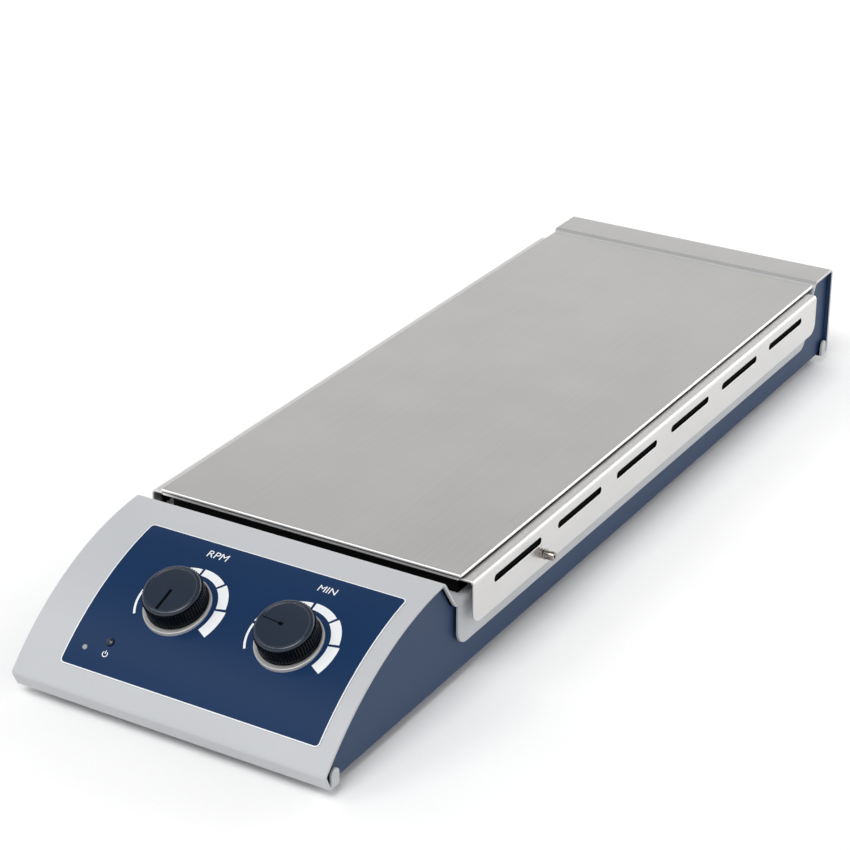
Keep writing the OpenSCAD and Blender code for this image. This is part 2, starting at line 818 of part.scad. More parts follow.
// Shaft from inside the control to the knob's socket
module control_shaft(i) {
    low = pot_face - pot_l + 2.3;
    color(zinc) placed() on_panel(knob_xs[i], knob_s)
        translate([0, 0, low]) cylinder(r = shaft_r, h = knob_top - 2.5 - low);
}

// Knob: ribbed grip, smooth rounded crown, hollow foot with a socket for the shaft
module knob_body(turn) {
    grip_r = knob_r - 0.4;
    core_r = grip_r - rib_depth;
    crown = 1.2;
    foot = 1.2;
    grip_top = knob_h - 2.2;
    hollow_r = nut_r + 4;
    roof = bushing_top + 0.5 - knob_z;
    socket_r = shaft_r + 2;
    rotate(180 - turn) difference() {
        union() {
            rotate_extrude() {
                polygon([[0, 0], [knob_r, 0], [knob_r, foot - 0.3], [core_r, foot], [0, foot]]);
                square([core_r, knob_h - crown]);
                square([core_r - crown, knob_h]);
                translate([core_r - crown, knob_h - crown]) circle(crown);
            }
            translate([0, 0, foot - 0.2]) linear_extrude(grip_top - foot)
                polygon([for (i = [0:2 * knob_ribs - 1])
                    (i % 2 == 0 ? grip_r : core_r + eps)
                        * [cos(i * 180 / knob_ribs), sin(i * 180 / knob_ribs)]]);
        }
        translate([0, 0, -1]) cylinder(r = hollow_r, h = 1 + roof);
        translate([0, 0, -1]) cylinder(r = shaft_r + 0.02, h = 1 + knob_h - 2.5);
        translate([0, 0, knob_h - dish]) cylinder(r = dish_r, h = 1);
    }
}

module speed_knob() {
    color(knob_black) placed() on_panel(knob_xs[0], knob_s) translate([0, 0, knob_z]) difference() {
        knob_body(0);
        rotate(speed_turn) translate([-0.6, 0.5, knob_h - dish - 0.6]) cube([1.2, dish_r - 0.9, 2]);
    }
}

module time_knob() {
    color(knob_black) placed() on_panel(knob_xs[1], knob_s) translate([0, 0, knob_z]) difference() {
        knob_body(0);
        rotate(time_turn) translate([-0.3, 0, knob_h - dish - 0.4]) cube([0.6, knob_r - 1.8, 2]);
        translate([0, 0, knob_h - dish - 0.8]) cylinder(r = 1.1, h = 3);
    }
}

module speed_shaft() {
    control_shaft(0);
}

module time_shaft() {
    control_shaft(1);
}

// A low dome on a round end
module dome_cap(r, h) {
    ball = (r * r + h * h) / (2 * h);
    intersection() {
        translate([0, 0, h - ball]) sphere(ball);
        cylinder(r = r, h = 2 * h);
    }
}

module lamp_lens() {
    dome = 0.5;
    low = pot_face - 5;
    color("#eef0e6") placed() on_panel(film_x0 + lamp_in, film_down + lamp_down) {
        translate([0, 0, low]) cylinder(r = lamp_r, h = film_top + 0.2 - low);
        translate([0, 0, film_top + 0.2 - eps]) dome_cap(lamp_r, dome);
        translate([0, 0, low - 1]) cylinder(r = lamp_r + 0.5, h = 1 + eps);
    }
}

module lamp_holder() {
    color(black_plastic) placed() on_panel(film_x0 + lamp_in, film_down + lamp_down)
        translate([0, 0, pot_face - 4.9]) difference() {
            cylinder(r = lamp_r + 1.6, h = 4.9 + 0.2);
            translate([0, 0, -1]) cylinder(r = lamp_r + 0.05, h = 8);
        }
}

// Panel switch with a plunger that slides in its bushing
module button_switch() {
    body_r = 4.4;
    body_l2 = 9;
    face = pot_face;
    color(black_plastic) placed() on_panel(film_x0 + button_in, film_down + button_down) difference() {
        union() {
            translate([0, 0, face - body_l2]) cylinder(r = body_r, h = body_l2);
            translate([0, 0, face - eps]) cylinder(r = button_r + 1, h = -face - 0.1);
        }
        translate([0, 0, face - body_l2]) cylinder(r = button_r + run_gap, h = 20);
        translate([0, 0, face - body_l2 + 1.2]) cylinder(r = button_r + 1.2, h = body_l2 - 3.2);
    }
}

module power_button() {
    out = 1.9;
    dome = 0.6;
    collar = pot_face - 3.3;
    low = collar - 1.6;
    color(black_plastic) placed() on_panel(film_x0 + button_in, film_down + button_down) {
        translate([0, 0, low]) cylinder(r = button_r, h = out - dome - low);
        translate([0, 0, out - dome - eps]) dome_cap(button_r, dome);
        translate([0, 0, collar]) cylinder(r = button_r + 0.8, h = 1);
    }
}

// Circuit boards: a sheet with the larger components soldered on it
module board(x0, blocks, cans) {
    placed() difference() {
        union() {
            translate([x0, board_y, board_z]) {
                cube([board_w, board_d, board_t]);
                for (b = board_k * blocks)
                    translate([b[0], b[1], board_t - eps]) cube([b[2], b[3], b[4]]);
                for (c = board_k * cans)
                    translate([c[0], c[1], board_t - eps]) cylinder(r = c[2], h = c[3]);
            }
        }
        board_corners(x0) translate([0, 0, board_z - 1]) cylinder(r = 1.6, h = 4);
    }
}

module board_corners(x0) {
    for (x = [4, board_w - 4])
        for (y = [4, board_d - 4])
            translate([x0 + x, board_y + y, 0]) children();
}

module control_board() {
    color(board_green) board(-board_w - 4,
        [[14, 20, 12, 12, 2], [34, 14, 8, 14, 3], [46, 30, 16, 10, 5], [20, 40, 20, 6, 7]],
        [[56, 16, 4, 8]]);
}

module power_board() {
    color(board_green) board(4,
        [[10, 22, 22, 18, 14], [38, 32, 14, 10, 10], [54, 28, 10, 16, 8], [30, 10, 16, 8, 4]],
        [[40, 24, 5, 11]]);
}

module board_standoffs() {
    color(acetal) placed()
        for (x0 = [-board_w - 4, 4])
            board_corners(x0) {
                translate([0, 0, pan_t]) cylinder(r = 2.6, h = board_lift);
                translate([0, 0, board_z - eps]) cylinder(r = 1.5, h = board_t + 1.2);
                translate([0, 0, board_z + board_t + 0.1]) cylinder(r = 2, h = 1);
            }
}

// Deck that carries the motor and the ten axles
module drive_deck() {
    color(zinc) placed() difference() {
        translate([0, (deck_y0 + deck_y1) / 2, deck_z]) linear_extrude(deck_t)
            rounded_rect(2 * deck_half, deck_y1 - deck_y0, 6);
        for (p = places)
            translate([p[0], p[1], deck_z - 1]) cylinder(r = axle_r - 0.5 + 0.02, h = deck_t + 2);
        translate([motor_at[0], motor_at[1], deck_z - 1]) cylinder(r = bearing_r + 0.2, h = deck_t + 2);
        at_motor_screws() translate([0, 0, deck_z - 1]) cylinder(r = 1.6, h = deck_t + 2);
        at_pillars() translate([0, 0, deck_z - 1]) cylinder(r = 2.1, h = deck_t + 2);
    }
}

module at_pillars() {
    for (x = [-1, 1])
        for (y = pillar_ys)
            translate([x * pillar_x, y, 0]) children();
}

module at_motor_screws() {
    for (a = [30:120:270])
        translate([motor_at[0] + (bell_r - 5) * cos(a), motor_at[1] + (bell_r - 5) * sin(a), 0]) children();
}

module deck_pillars() {
    color(zinc) placed() at_pillars() {
        translate([0, 0, pan_t]) cylinder(r = 4, h = deck_z - pan_t);
        translate([0, 0, deck_z - eps]) cylinder(r = 2, h = deck_t + 0.8);
    }
}

// Axle: shoulder on the deck, running length, clip groove
module carrier_axles() {
    groove_z = carrier_top + 0.3;
    color(steel) placed()
        for (p = places)
            translate([p[0], p[1], 0]) rotate_extrude() polygon([
                [0, deck_z], [axle_r - 0.5, deck_z], [axle_r - 0.5, deck_top], [axle_r + 3, deck_top],
                [axle_r + 3, deck_top + axle_shoulder], [axle_r, deck_top + axle_shoulder],
                [axle_r, groove_z], [axle_r - 0.8, groove_z], [axle_r - 0.8, groove_z + clip_h + 0.1],
                [axle_r, groove_z + clip_h + 0.1], [axle_r, axle_top], [0, axle_top]
            ]);
}

module carrier_clips() {
    r = axle_r - 0.75;
    color(zinc) placed()
        for (p = places)
            translate([p[0], p[1], carrier_top + 0.35]) linear_extrude(clip_h) difference() {
                circle(axle_r + 2);
                circle(r);
                translate([0, -r * 0.8]) square([20, r * 1.6]);
            }
}

// Two-groove pulley with flanges, for a pitch radius
module pulley(pitch_r, bore_r) {
    root = pitch_r - belt_t / 2 - belt_gap;
    rim = pitch_r + belt_t / 2 + 1;
    a = flange_t;
    b = a + groove_h;
    rotate_extrude() polygon([
        [bore_r, 0], [rim, 0], [rim, a], [root, a], [root, b], [rim, b], [rim, b + flange_t],
        [root, b + flange_t], [root, b + flange_t + groove_h], [rim, b + flange_t + groove_h],
        [rim, b + 2 * flange_t + groove_h], [bore_r, b + 2 * flange_t + groove_h]
    ]);
}

// Magnet carrier: pulley hub below, disc with two magnet pockets above
module carrier(k) {
    p = places[k - 1];
    color(acetal) placed() translate([p[0], p[1], carrier_z]) difference() {
        union() {
            pulley(carrier_pitch_r, axle_r + run_gap);
            translate([0, 0, hub_h - eps]) cylinder(r = rotor_r, h = disc_h + eps);
        }
        translate([0, 0, -1]) cylinder(r = axle_r + run_gap, h = 60);
        for (side = [-1, 1])
            translate([side * magnet_at, 0, hub_h + disc_h - magnet_h - 0.3])
                cylinder(r = magnet_r + 0.05, h = 20);
    }
}

module magnets(k) {
    p = places[k - 1];
    color(zinc) placed()
        for (side = [-1, 1])
            translate([p[0] + side * magnet_at, p[1], carrier_top - magnet_h - 0.3])
                cylinder(r = magnet_r, h = magnet_h);
}

// The loop round two circles, given their centres and radii
module loop_outline(p1, r1, p2, r2) {
    base = atan2(p2[1] - p1[1], p2[0] - p1[0]);
    wrap = acos((r1 - r2) / norm(p2 - p1));
    up = [cos(base + wrap), sin(base + wrap)];
    down = [cos(base - wrap), sin(base - wrap)];
    translate(p1) circle(r1);
    translate(p2) circle(r2);
    polygon([p1 + r1 * up, p1 + r1 * down, p2 + r2 * down, p2 + r2 * up]);
}

// A flat belt round two pulleys, given their centres and pitch radii
module belt(p1, r1, p2, r2, z) {
    half = belt_t / 2;
    translate([0, 0, z - belt_w / 2]) linear_extrude(belt_w) difference() {
        loop_outline(p1, r1 + half, p2, r2 + half);
        loop_outline(p1, r1 - half, p2, r2 - half);
    }
}

// Each column is a chain: motor to the first carrier, then carrier to carrier in alternate grooves
module drive_belts() {
    color(rubber) placed()
        for (c = [0, 1]) {
            grooves = c == 0 ? [groove_a, groove_b] : [groove_b, groove_a];
            belt(motor_at, motor_pitch_r, places[c * rows], carrier_pitch_r, grooves[0]);
            for (i = [1:rows - 1])
                belt(places[c * rows + i - 1], carrier_pitch_r,
                    places[c * rows + i], carrier_pitch_r, grooves[i % 2]);
        }
}

// Flat motor under the deck: fixed stator with a bearing tube, turning bell with the shaft
module motor_stator() {
    core_r = bell_r - 3.4;
    core_low = bell_low + 1.5 + 0.8;
    color(black_plastic) placed() translate([motor_at[0], motor_at[1], 0]) difference() {
        union() {
            translate([0, 0, deck_z - stator_t]) cylinder(r = bell_r + 1, h = stator_t);
            translate([0, 0, core_low]) cylinder(r = core_r, h = deck_z - stator_t - core_low + eps);
            translate([0, 0, deck_z - eps]) cylinder(r = bearing_r, h = deck_t);
        }
        translate([0, 0, core_low - 1]) cylinder(r = motor_shaft_r + run_gap, h = 40);
        for (a = [30:120:270])
            translate([(bell_r - 5) * cos(a), (bell_r - 5) * sin(a), deck_z - stator_t - 3])
                cylinder(r = 1.52, h = 20);
    }
}

module motor_screws() {
    color(zinc) placed() at_motor_screws() {
        translate([0, 0, deck_top]) cylinder(r = 2.8, h = 1.6);
        translate([0, 0, deck_z - 4]) cylinder(r = 1.5, h = deck_t + 4 + eps);
    }
}

module motor_bell() {
    wall = 2.6;
    rim_z = deck_z - stator_t - 0.6;
    shaft_top = carrier_z + hub_h + 1;
    color(zinc) placed() translate([motor_at[0], motor_at[1], 0]) {
        difference() {
            translate([0, 0, bell_low]) cylinder(r = bell_r, h = rim_z - bell_low);
            translate([0, 0, bell_low + 1.5]) cylinder(r = bell_r - wall, h = 40);
        }
        translate([0, 0, bell_low + eps]) cylinder(r = motor_shaft_r, h = shaft_top - bell_low);
    }
}

module motor_pulley() {
    color(acetal) placed() translate([motor_at[0], motor_at[1], carrier_z])
        pulley(motor_pitch_r, motor_shaft_r + 0.01);
}

// Mains inlet: flange outside the rear wall, hollow body through it
module inlet_profile(w, h, cut) {
    polygon([
        [-w / 2, -h / 2], [w / 2, -h / 2], [w / 2, h / 2 - cut], [w / 2 - cut, h / 2],
        [-w / 2 + cut, h / 2], [-w / 2, h / 2 - cut]
    ]);
}

module inlet_socket() {
    body_w2 = inlet_w + 2 * inlet_wall;
    body_h2 = inlet_h + 2 * inlet_wall;
    back = inlet_depth - inlet_t + 2.5;
    color(black_plastic) placed() translate([0, 0, inlet_z]) difference() {
        union() {
            along(y_rear + eps, y_rear + inlet_t) rounded_rect(2 * inlet_ear + 10, body_h2 + 2.4, 3);
            along(y_rear - back, y_rear + 0.5) inlet_profile(body_w2, body_h2, 4);
        }
        along(y_rear + inlet_t - inlet_depth, y_rear + 10) inlet_profile(inlet_w, inlet_h, 3.5);
        along(y_rear - 40, y_rear) pin_sections(0.06);
        for (x = [-1, 1])
            translate([x * inlet_ear, y_rear, 0]) rotate([-90, 0, 0]) {
                translate([0, 0, -5]) cylinder(r = inlet_screw_r + 0.1, h = 20);
                translate([0, 0, inlet_t - 1.6]) cylinder(r1 = 1.6, r2 = 3.2, h = 1.6);
                translate([0, 0, inlet_t - eps]) cylinder(r = 3.2, h = 5);
            }
    }
}

// The three blades' places and sections
module pin_sections(gap) {
    for (p = [[-7, -2, 2, 4], [7, -2, 2, 4], [0, 2, 2, 4]])
        translate([p[0], p[1]]) square([p[2] + gap, p[3] + gap], center = true);
}

module inlet_pins() {
    tip = y_rear + inlet_t - pin_mouth;
    tail = y_rear + inlet_t - inlet_depth - 10;
    color(steel) placed() translate([0, 0, inlet_z]) along(tail, tip) pin_sections(0);
}

module inlet_screws() {
    color(zinc) placed()
        for (x = [-1, 1])
            translate([x * inlet_ear, y_rear, inlet_z]) rotate([-90, 0, 0]) {
                translate([0, 0, inlet_t - 1.5]) cylinder(r1 = 1.5, r2 = 3, h = 1.5);
                translate([0, 0, -7]) cylinder(r = inlet_screw_r, h = 7 + inlet_t - 1.5 + eps);
            }
}

base_pan();
top_cover();
top_plate();
left_rail();
right_rail();
plate_supports();
plate_nuts();
rail_screws();
rail_studs();
rail_nuts();
panel_overlay();
knob_bezels();
pot_bodies();
pot_nuts();
speed_knob();
speed_shaft();
time_knob();
time_shaft();
lamp_lens();
lamp_holder();
button_switch();
power_button();
control_board();
power_board();
board_standoffs();
drive_deck();
deck_pillars();
carrier_axles();
carrier_clips();
drive_belts();
motor_stator();
motor_screws();
motor_bell();
motor_pulley();
inlet_socket();
inlet_pins();
inlet_screws();
feet();
foot_screws();
cover_screws();
for (k = [1:2 * rows]) {
    carrier(k);
    magnets(k);
}
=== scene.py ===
import logging
import math
from collections.abc import Callable, Sequence
from dataclasses import dataclass
from enum import Enum, IntEnum
from typing import NamedTuple

import bmesh
import bpy
from mathutils import Matrix, Vector


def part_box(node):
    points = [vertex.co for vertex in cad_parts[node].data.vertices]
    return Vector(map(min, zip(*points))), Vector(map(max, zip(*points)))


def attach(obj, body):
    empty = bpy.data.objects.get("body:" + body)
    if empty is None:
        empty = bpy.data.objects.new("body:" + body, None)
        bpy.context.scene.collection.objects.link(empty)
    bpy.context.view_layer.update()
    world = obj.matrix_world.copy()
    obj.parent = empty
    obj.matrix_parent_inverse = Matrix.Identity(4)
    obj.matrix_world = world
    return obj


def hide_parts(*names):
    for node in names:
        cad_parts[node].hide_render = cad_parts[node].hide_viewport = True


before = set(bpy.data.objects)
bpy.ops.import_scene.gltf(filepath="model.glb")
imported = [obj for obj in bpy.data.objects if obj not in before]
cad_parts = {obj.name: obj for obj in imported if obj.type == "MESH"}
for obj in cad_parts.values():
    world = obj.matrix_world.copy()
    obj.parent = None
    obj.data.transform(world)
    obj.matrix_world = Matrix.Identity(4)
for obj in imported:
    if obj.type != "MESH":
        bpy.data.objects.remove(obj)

log = logging.getLogger("stirrer")

Pair = tuple[float, float]
Triple = tuple[float, float, float]
Colour = tuple[float, float, float, float]
Line = list[Pair]

MM = 0.001
PHOTO_PIXELS = 850
# Points of a new mesh that are closer than this are one point, in metres
SAME_POINT = 1e-7
# Steps in the solids' bends, finer than any edge: the copy of a sheet is merged past them, in mm
JOG_MM = 0.035
# A point this close to a paint line lies on it, in mm
LINE_SNAP_MM = 0.02
# Points this close to a piece's highest one belong to its top face, in mm
TOP_SLACK_MM = 0.01
# Edges that turn further than this are broken, in degrees
SHARP_DEGREES = 32.0
# Faces across a broken edge, and across the rounder edge of a top face
EDGE_STEPS = 2
TOP_STEPS = 5
# A copy whose edges are broken further than this is named as a sheet, in mm
SHEET_EDGE_MM = 0.25
# The knobs' places on the panel, across and down its curve, and their discs' shift, in mm
SPEED_PLACE: Pair = (-22.15, 61.0)
TIME_PLACE: Pair = (42.15, 61.0)
DISC_SHIFT: Pair = (-0.25, 0.6)


def srgb(code: str) -> Colour:
    """Turns an sRGB hex colour into the linear colour that a shader socket takes.

    Args:
        code: Six hex digits, with or without a leading hash.

    Returns:
        Linear red, green, blue and an alpha of one.
    """
    parts = [int(code.lstrip("#")[i:i + 2], 16) / 255 for i in (0, 2, 4)]
    line = [p / 12.92 if p <= 0.04045 else ((p + 0.055) / 1.055) ** 2.4 for p in parts]
    return (line[0], line[1], line[2], 1.0)


def add_node(
    tree: bpy.types.NodeTree, kind: str, inputs: dict[str | int, object] | None = None,
    **settings: object,
) -> bpy.types.Node:
    """Adds one node, with its settings, its fixed values and its links.

    Args:
        tree: The shader or geometry tree that gets the node.
        kind: Blender's name for the node's type.
        inputs: For each input, a value to set or an output to link from.
        settings: The node's own properties.

    Returns:
        The new node.
    """
    node = tree.nodes.new(kind)
    for name, value in settings.items():
        setattr(node, name, value)
    for name, value in (inputs or {}).items():
        if isinstance(value, bpy.types.NodeSocket):
            tree.links.new(value, node.inputs[name])
        else:
            node.inputs[name].default_value = value
    return node


class Slot(Enum):
    """The record's material slots, one listed with each new piece."""

    GREY_PAINT = "grey_paint"
    BRUSHED_PLATE = "brushed_plate"
    RAIL_STEEL = "rail_steel"
    ZINC_STEEL = "zinc_steel"
    PRINTED_FILM = "printed_film"
    KNOB_PLASTIC = "knob_plastic"
    BLACK_PLASTIC = "black_plastic"
    LAMP_PLASTIC = "lamp_plastic"
    FOOT_RUBBER = "foot_rubber"


class Body(Enum):
    """The bodies that new pieces ride on."""

    CASING = "casing"
    SPEED_DIAL = "speed_dial"
    TIME_DIAL = "time_dial"
    POWER_KEY = "power_key"


class Pattern(NamedTuple):
    """What a finish's texture gives: outputs for tint, gloss and relief, and the range of each."""

    tint: bpy.types.NodeSocket
    tint_range: Pair
    gloss: bpy.types.NodeSocket
    gloss_range: Pair
    height: bpy.types.NodeSocket


@dataclass(frozen=True, kw_only=True)
class Finish:
    """Two close colours, a gloss given by its middle and its spread, and a fine relief."""

    name: str
    colours: tuple[str, str]
    roughness: Pair
    relief_mm: float
    metallic: float = 0.0

    def set_shader(self, shader: bpy.types.Node) -> None:
        """Sets what is the same all over the surface on the shader's own sockets."""
        shader.inputs["Metallic"].default_value = self.metallic

    def pattern(self, tree: bpy.types.NodeTree) -> Pattern:
        """Builds the texture that leads tint, gloss and relief. Each kind of finish has its own."""
        raise NotImplementedError

    def material(self) -> bpy.types.Material:
        """Builds the finish as a material.

        Returns:
            The new material.
        """
        made = bpy.data.materials.new(self.name)
        made.use_nodes = True
        tree = made.node_tree
        shader = tree.nodes["Principled BSDF"]
        self.set_shader(shader)
        pattern = self.pattern(tree)
        share = add_node(tree, "ShaderNodeMapRange", {
            "Value": pattern.tint,
            "From Min": pattern.tint_range[0], "From Max": pattern.tint_range[1],
        })
        tint = add_node(tree, "ShaderNodeMix", {
            0: share.outputs["Result"], 6: srgb(self.colours[0]), 7: srgb(self.colours[1]),
        }, data_type="RGBA")
        middle, spread = self.roughness
        gloss = add_node(tree, "ShaderNodeMapRange", {
            "Value": pattern.gloss,
            "From Min": pattern.gloss_range[0], "From Max": pattern.gloss_range[1],
            "To Min": middle - spread, "To Max": middle + spread,
        })
        bump = add_node(tree, "ShaderNodeBump", {
            "Height": pattern.height, "Strength": 1.0, "Distance": self.relief_mm * MM,
        })
        tree.links.new(tint.outputs[2], shader.inputs["Base Color"])
        tree.links.new(gloss.outputs["Result"], shader.inputs["Roughness"])
        tree.links.new(bump.outputs["Normal"], shader.inputs["Normal"])
        return made


@dataclass(frozen=True, kw_only=True)
class MottledFinish(Finish):
    """A finish whose colour, gloss and surface all follow one fine grain.

    Powder paint, moulded plastic, rubber and laminate are all of this kind: a grain left by the
    baking or by the mould, which breaks up the gloss a little. Plating has a cloudy grain too.
    """

    grain_mm: float
    patch_mm: float = 60.0
    ior: float = 1.5
    sheen_level: float = 0.5
    coat: float = 0.0
    coat_roughness: float = 0.2

    def set_shader(self, shader: bpy.types.Node) -> None:
        """Adds the gloss of paint and plastic, which metal doesn't have, and the coat.

        Args:
            shader: The material's main shader.
        """
        super().set_shader(shader)
        if self.metallic == 0.0:
            shader.inputs["IOR"].default_value = self.ior
            shader.inputs["Specular IOR Level"].default_value = self.sheen_level
        shader.inputs["Coat Weight"].default_value = self.coat
        shader.inputs["Coat Roughness"].default_value = self.coat_roughness

    def pattern(self, tree: bpy.types.NodeTree) -> Pattern:
        """Adds up the grain and wide, faint patches.

        Args:
            tree: The material's tree.

        Returns:
            The texture's outputs and ranges.
        """
        place = add_node(tree, "ShaderNodeTexCoord").outputs["Object"]
        grain = add_node(tree, "ShaderNodeTexNoise", {
            "Vector": place, "Scale": 1 / (self.grain_mm * MM), "Detail": 3.0, "Roughness": 0.55,
        }).outputs["Fac"]
        patch = add_node(tree, "ShaderNodeTexNoise", {
            "Vector": place, "Scale": 1 / (self.patch_mm * MM), "Detail": 2.0,
        }).outputs["Fac"]
        both = add_node(tree, "ShaderNodeMath", {0: grain, 1: patch}, operation="ADD").outputs[0]
        return Pattern(both, (0.6, 1.4), both, (0.6, 1.4), grain)


@dataclass(frozen=True, kw_only=True)
class BrushedFinish(Finish):
    """Sheet metal with fine straight scratches, whose sizes are given along the object's axes."""

    scratch_mm: Triple
    patch_mm: float = 45.0
    patch_share: float = 0.3
    metallic: float = 1.0

    def pattern(self, tree: bpy.types.NodeTree) -> Pattern:
        """Stretches a grain into scratches, and lays wide patches over their tint.

        Args:
            tree: The material's tree.

        Returns:
            The texture's outputs and ranges.
        """
        place = add_node(tree, "ShaderNodeTexCoord").outputs["Object"]
        along = add_node(tree, "ShaderNodeMapping", {
            "Vector": place, "Scale": tuple(1 / (size * MM) for size in self.scratch_mm),
        })
        scratch = add_node(tree, "ShaderNodeTexNoise", {
            "Vector": along.outputs["Vector"], "Scale": 1.0, "Detail": 4.0, "Roughness": 0.65,
        }).outputs["Fac"]
        patch = add_node(tree, "ShaderNodeTexNoise", {
            "Vector": place, "Scale": 1 / (self.patch_mm * MM), "Detail": 2.0,
        }).outputs["Fac"]
        blend = add_node(tree, "ShaderNodeMix", {0: self.patch_share, 2: scratch, 3: patch})
        return Pattern(blend.outputs[0], (0.34, 0.66), scratch, (0.3, 0.7), scratch)


@dataclass(frozen=True, kw_only=True)
class TurnedFinish(Finish):
    """Metal faced on a lathe, with rings that follow the piece's own ring attribute, in mm."""

    ring_mm: float

    def pattern(self, tree: bpy.types.NodeTree) -> Pattern:
        """Draws rings that differ from one another.

        Args:
            tree: The material's tree.

        Returns:
            The texture's outputs and ranges.
        """
        ring = add_node(tree, "ShaderNodeAttribute", attribute_name="ring")
        scratch = add_node(tree, "ShaderNodeTexNoise", {
            "W": ring.outputs["Fac"], "Scale": 1 / self.ring_mm, "Detail": 3.0, "Roughness": 0.7,
        }, noise_dimensions="1D").outputs["Fac"]
        return Pattern(scratch, (0.3, 0.7), scratch, (0.3, 0.7), scratch)


class Finishes:
    """Every finish on the stirrer, built once, each under a maker's name for it."""

    def __init__(self) -> None:
        """Builds all the materials."""
        # Polyester powder, baked: a light grey with a very fine orange peel and a satin gloss
        self.grey_powder = MottledFinish(
            name="powder_paint_light_grey", colours=("#B4B6B9", "#BABCBF"), roughness=(0.42, 0.05),
            grain_mm=0.8, relief_mm=0.012, sheen_level=0.35).material()
        # Painted shade: a matt near black for the cover's inside and for gaps, slots and holes
        self.painted_shade_black = MottledFinish(
            name="primer_black_matt", colours=("#060607", "#0A0A0B"), roughness=(0.85, 0.05),
            grain_mm=0.9, relief_mm=0.01, sheen_level=0.05).material()
        # The same powder in navy: darker, so the peel shows mostly in the gloss
        self.navy_powder = MottledFinish(
            name="powder_paint_navy", colours=("#263B5A", "#2C4160"), roughness=(0.45, 0.05),
            grain_mm=0.8, relief_mm=0.01, sheen_level=0.22).material()
        # Stainless sheet, belt brushed lengthways: fine streaks, 0.5 mm wide so that they show
        self.plate_steel = BrushedFinish(
            name="stainless_brushed_lengthways", colours=("#B3B2B0", "#C0BFBD"),
            roughness=(0.36, 0.04), scratch_mm=(0.5, 60.0, 40.0), relief_mm=0.003).material()
        # The same sheet on its bends and cut edges: a painted highlight, lighter and with no
        # streaks
        self.edge_steel = BrushedFinish(
            name="stainless_burnished_edge", colours=("#F0EFEE", "#F6F5F4"),
            roughness=(0.46, 0.04), scratch_mm=(30.0, 30.0, 1.0), relief_mm=0.002).material()
        # The rear strip's bend: matt, in a grey darker than the plate, as painted shade
        self.bend_steel = MottledFinish(
            name="stainless_blasted_bend", colours=("#9A9A99", "#A0A09F"), roughness=(0.7, 0.05),
            grain_mm=0.5, relief_mm=0.004, sheen_level=0.2).material()
        # Stainless sheet as rolled: matt and pale, with only a faint lengthways grain
        self.rail_steel = BrushedFinish(
            name="stainless_rolled_matt", colours=("#D4D3D2", "#DBDAD9"), roughness=(0.44, 0.04),
            scratch_mm=(1.2, 50.0, 1.2), relief_mm=0.002).material()
        # Bright zinc plating: bluish grey, slightly cloudy
        self.zinc = MottledFinish(
            name="zinc_plated_steel", colours=("#A4A7AC", "#B9BCC0"), roughness=(0.3, 0.06),
            grain_mm=1.5, relief_mm=0.004, metallic=1.0).material()
        # Nickel plating on a turned stud: warm and nearly mirror bright
        self.nickel = MottledFinish(
            name="nickel_plated_turned", colours=("#8E8982", "#A39E97"), roughness=(0.15, 0.04),
            grain_mm=1.2, relief_mm=0.002, metallic=1.0).material()
        # Aluminium disc faced on a lathe, under satin lacquer: neutral grey, with faint rings
        self.turned_disc = TurnedFinish(
            name="aluminium_turned_lacquered", colours=("#B4B3B2", "#C6C5C4"),
            roughness=(0.38, 0.05), ring_mm=0.6, relief_mm=0.006, metallic=0.35).material()
        # Polyester film printed on its back: navy under a clear satin face
        self.navy_film = MottledFinish(
            name="polyester_film_navy_print", colours=("#0F2C50", "#123055"),
            roughness=(0.38, 0.04), grain_mm=0.4, relief_mm=0.002, sheen_level=0.12).material()
        # White ink under the same satin face
        self.white_ink = MottledFinish(
            name="polyester_film_white_print", colours=("#E2E5E8", "#EAECEE"),
            roughness=(0.4, 0.03), grain_mm=0.4, relief_mm=0.002, sheen_level=0.3).material()
        # ABS moulded in a spark-eroded tool: a blue-black with a soft sheen
        self.knob_abs = MottledFinish(
            name="abs_moulded_blue_black", colours=("#152131", "#1A2738"), roughness=(0.24, 0.03),
            grain_mm=0.35, relief_mm=0.003, ior=1.54, sheen_level=0.45).material()
        # The same ABS on the ribs, made darker as painted shade, with a narrow sheen
        self.grip_abs = MottledFinish(
            name="abs_ribbed_grip_black", colours=("#050A13", "#08101B"), roughness=(0.3, 0.04),
            grain_mm=0.35, relief_mm=0.002, ior=1.54, sheen_level=0.15).material()
        # Nylon moulded black: matt
        self.black_nylon = MottledFinish(
            name="nylon_moulded_black", colours=("#050506", "#080809"), roughness=(0.6, 0.06),
            grain_mm=0.6, relief_mm=0.012, ior=1.53, sheen_level=0.05).material()
        # Acrylic lens over a pale diode: milky, glossy
        self.lens_acrylic = MottledFinish(
            name="acrylic_lens_milky", colours=("#868D93", "#A0A6AA"), roughness=(0.2, 0.04),
            grain_mm=0.9, relief_mm=0.002, ior=1.49).material()
        # Glass-epoxy laminate under green lacquer: the lacquer's gloss over a woven unevenness
        self.board_laminate = MottledFinish(
            name="glass_epoxy_green_lacquer", colours=("#2A6144", "#336E4E"),
            roughness=(0.35, 0.06), grain_mm=1.2, relief_mm=0.006, ior=1.55, coat=0.3).material()
        # Acetal turned from rod: waxy off-white
        self.white_acetal = MottledFinish(
            name="acetal_natural", colours=("#DFDDD4", "#E7E5DD"), roughness=(0.42, 0.05),
            grain_mm=1.5, relief_mm=0.006, ior=1.48).material()
        # Moulded rubber: near black, dull
        self.black_rubber = MottledFinish(
            name="rubber_moulded_black", colours=("#1A1A1B", "#222223"), roughness=(0.75, 0.08),
            grain_mm=0.7, relief_mm=0.02, ior=1.52).material()
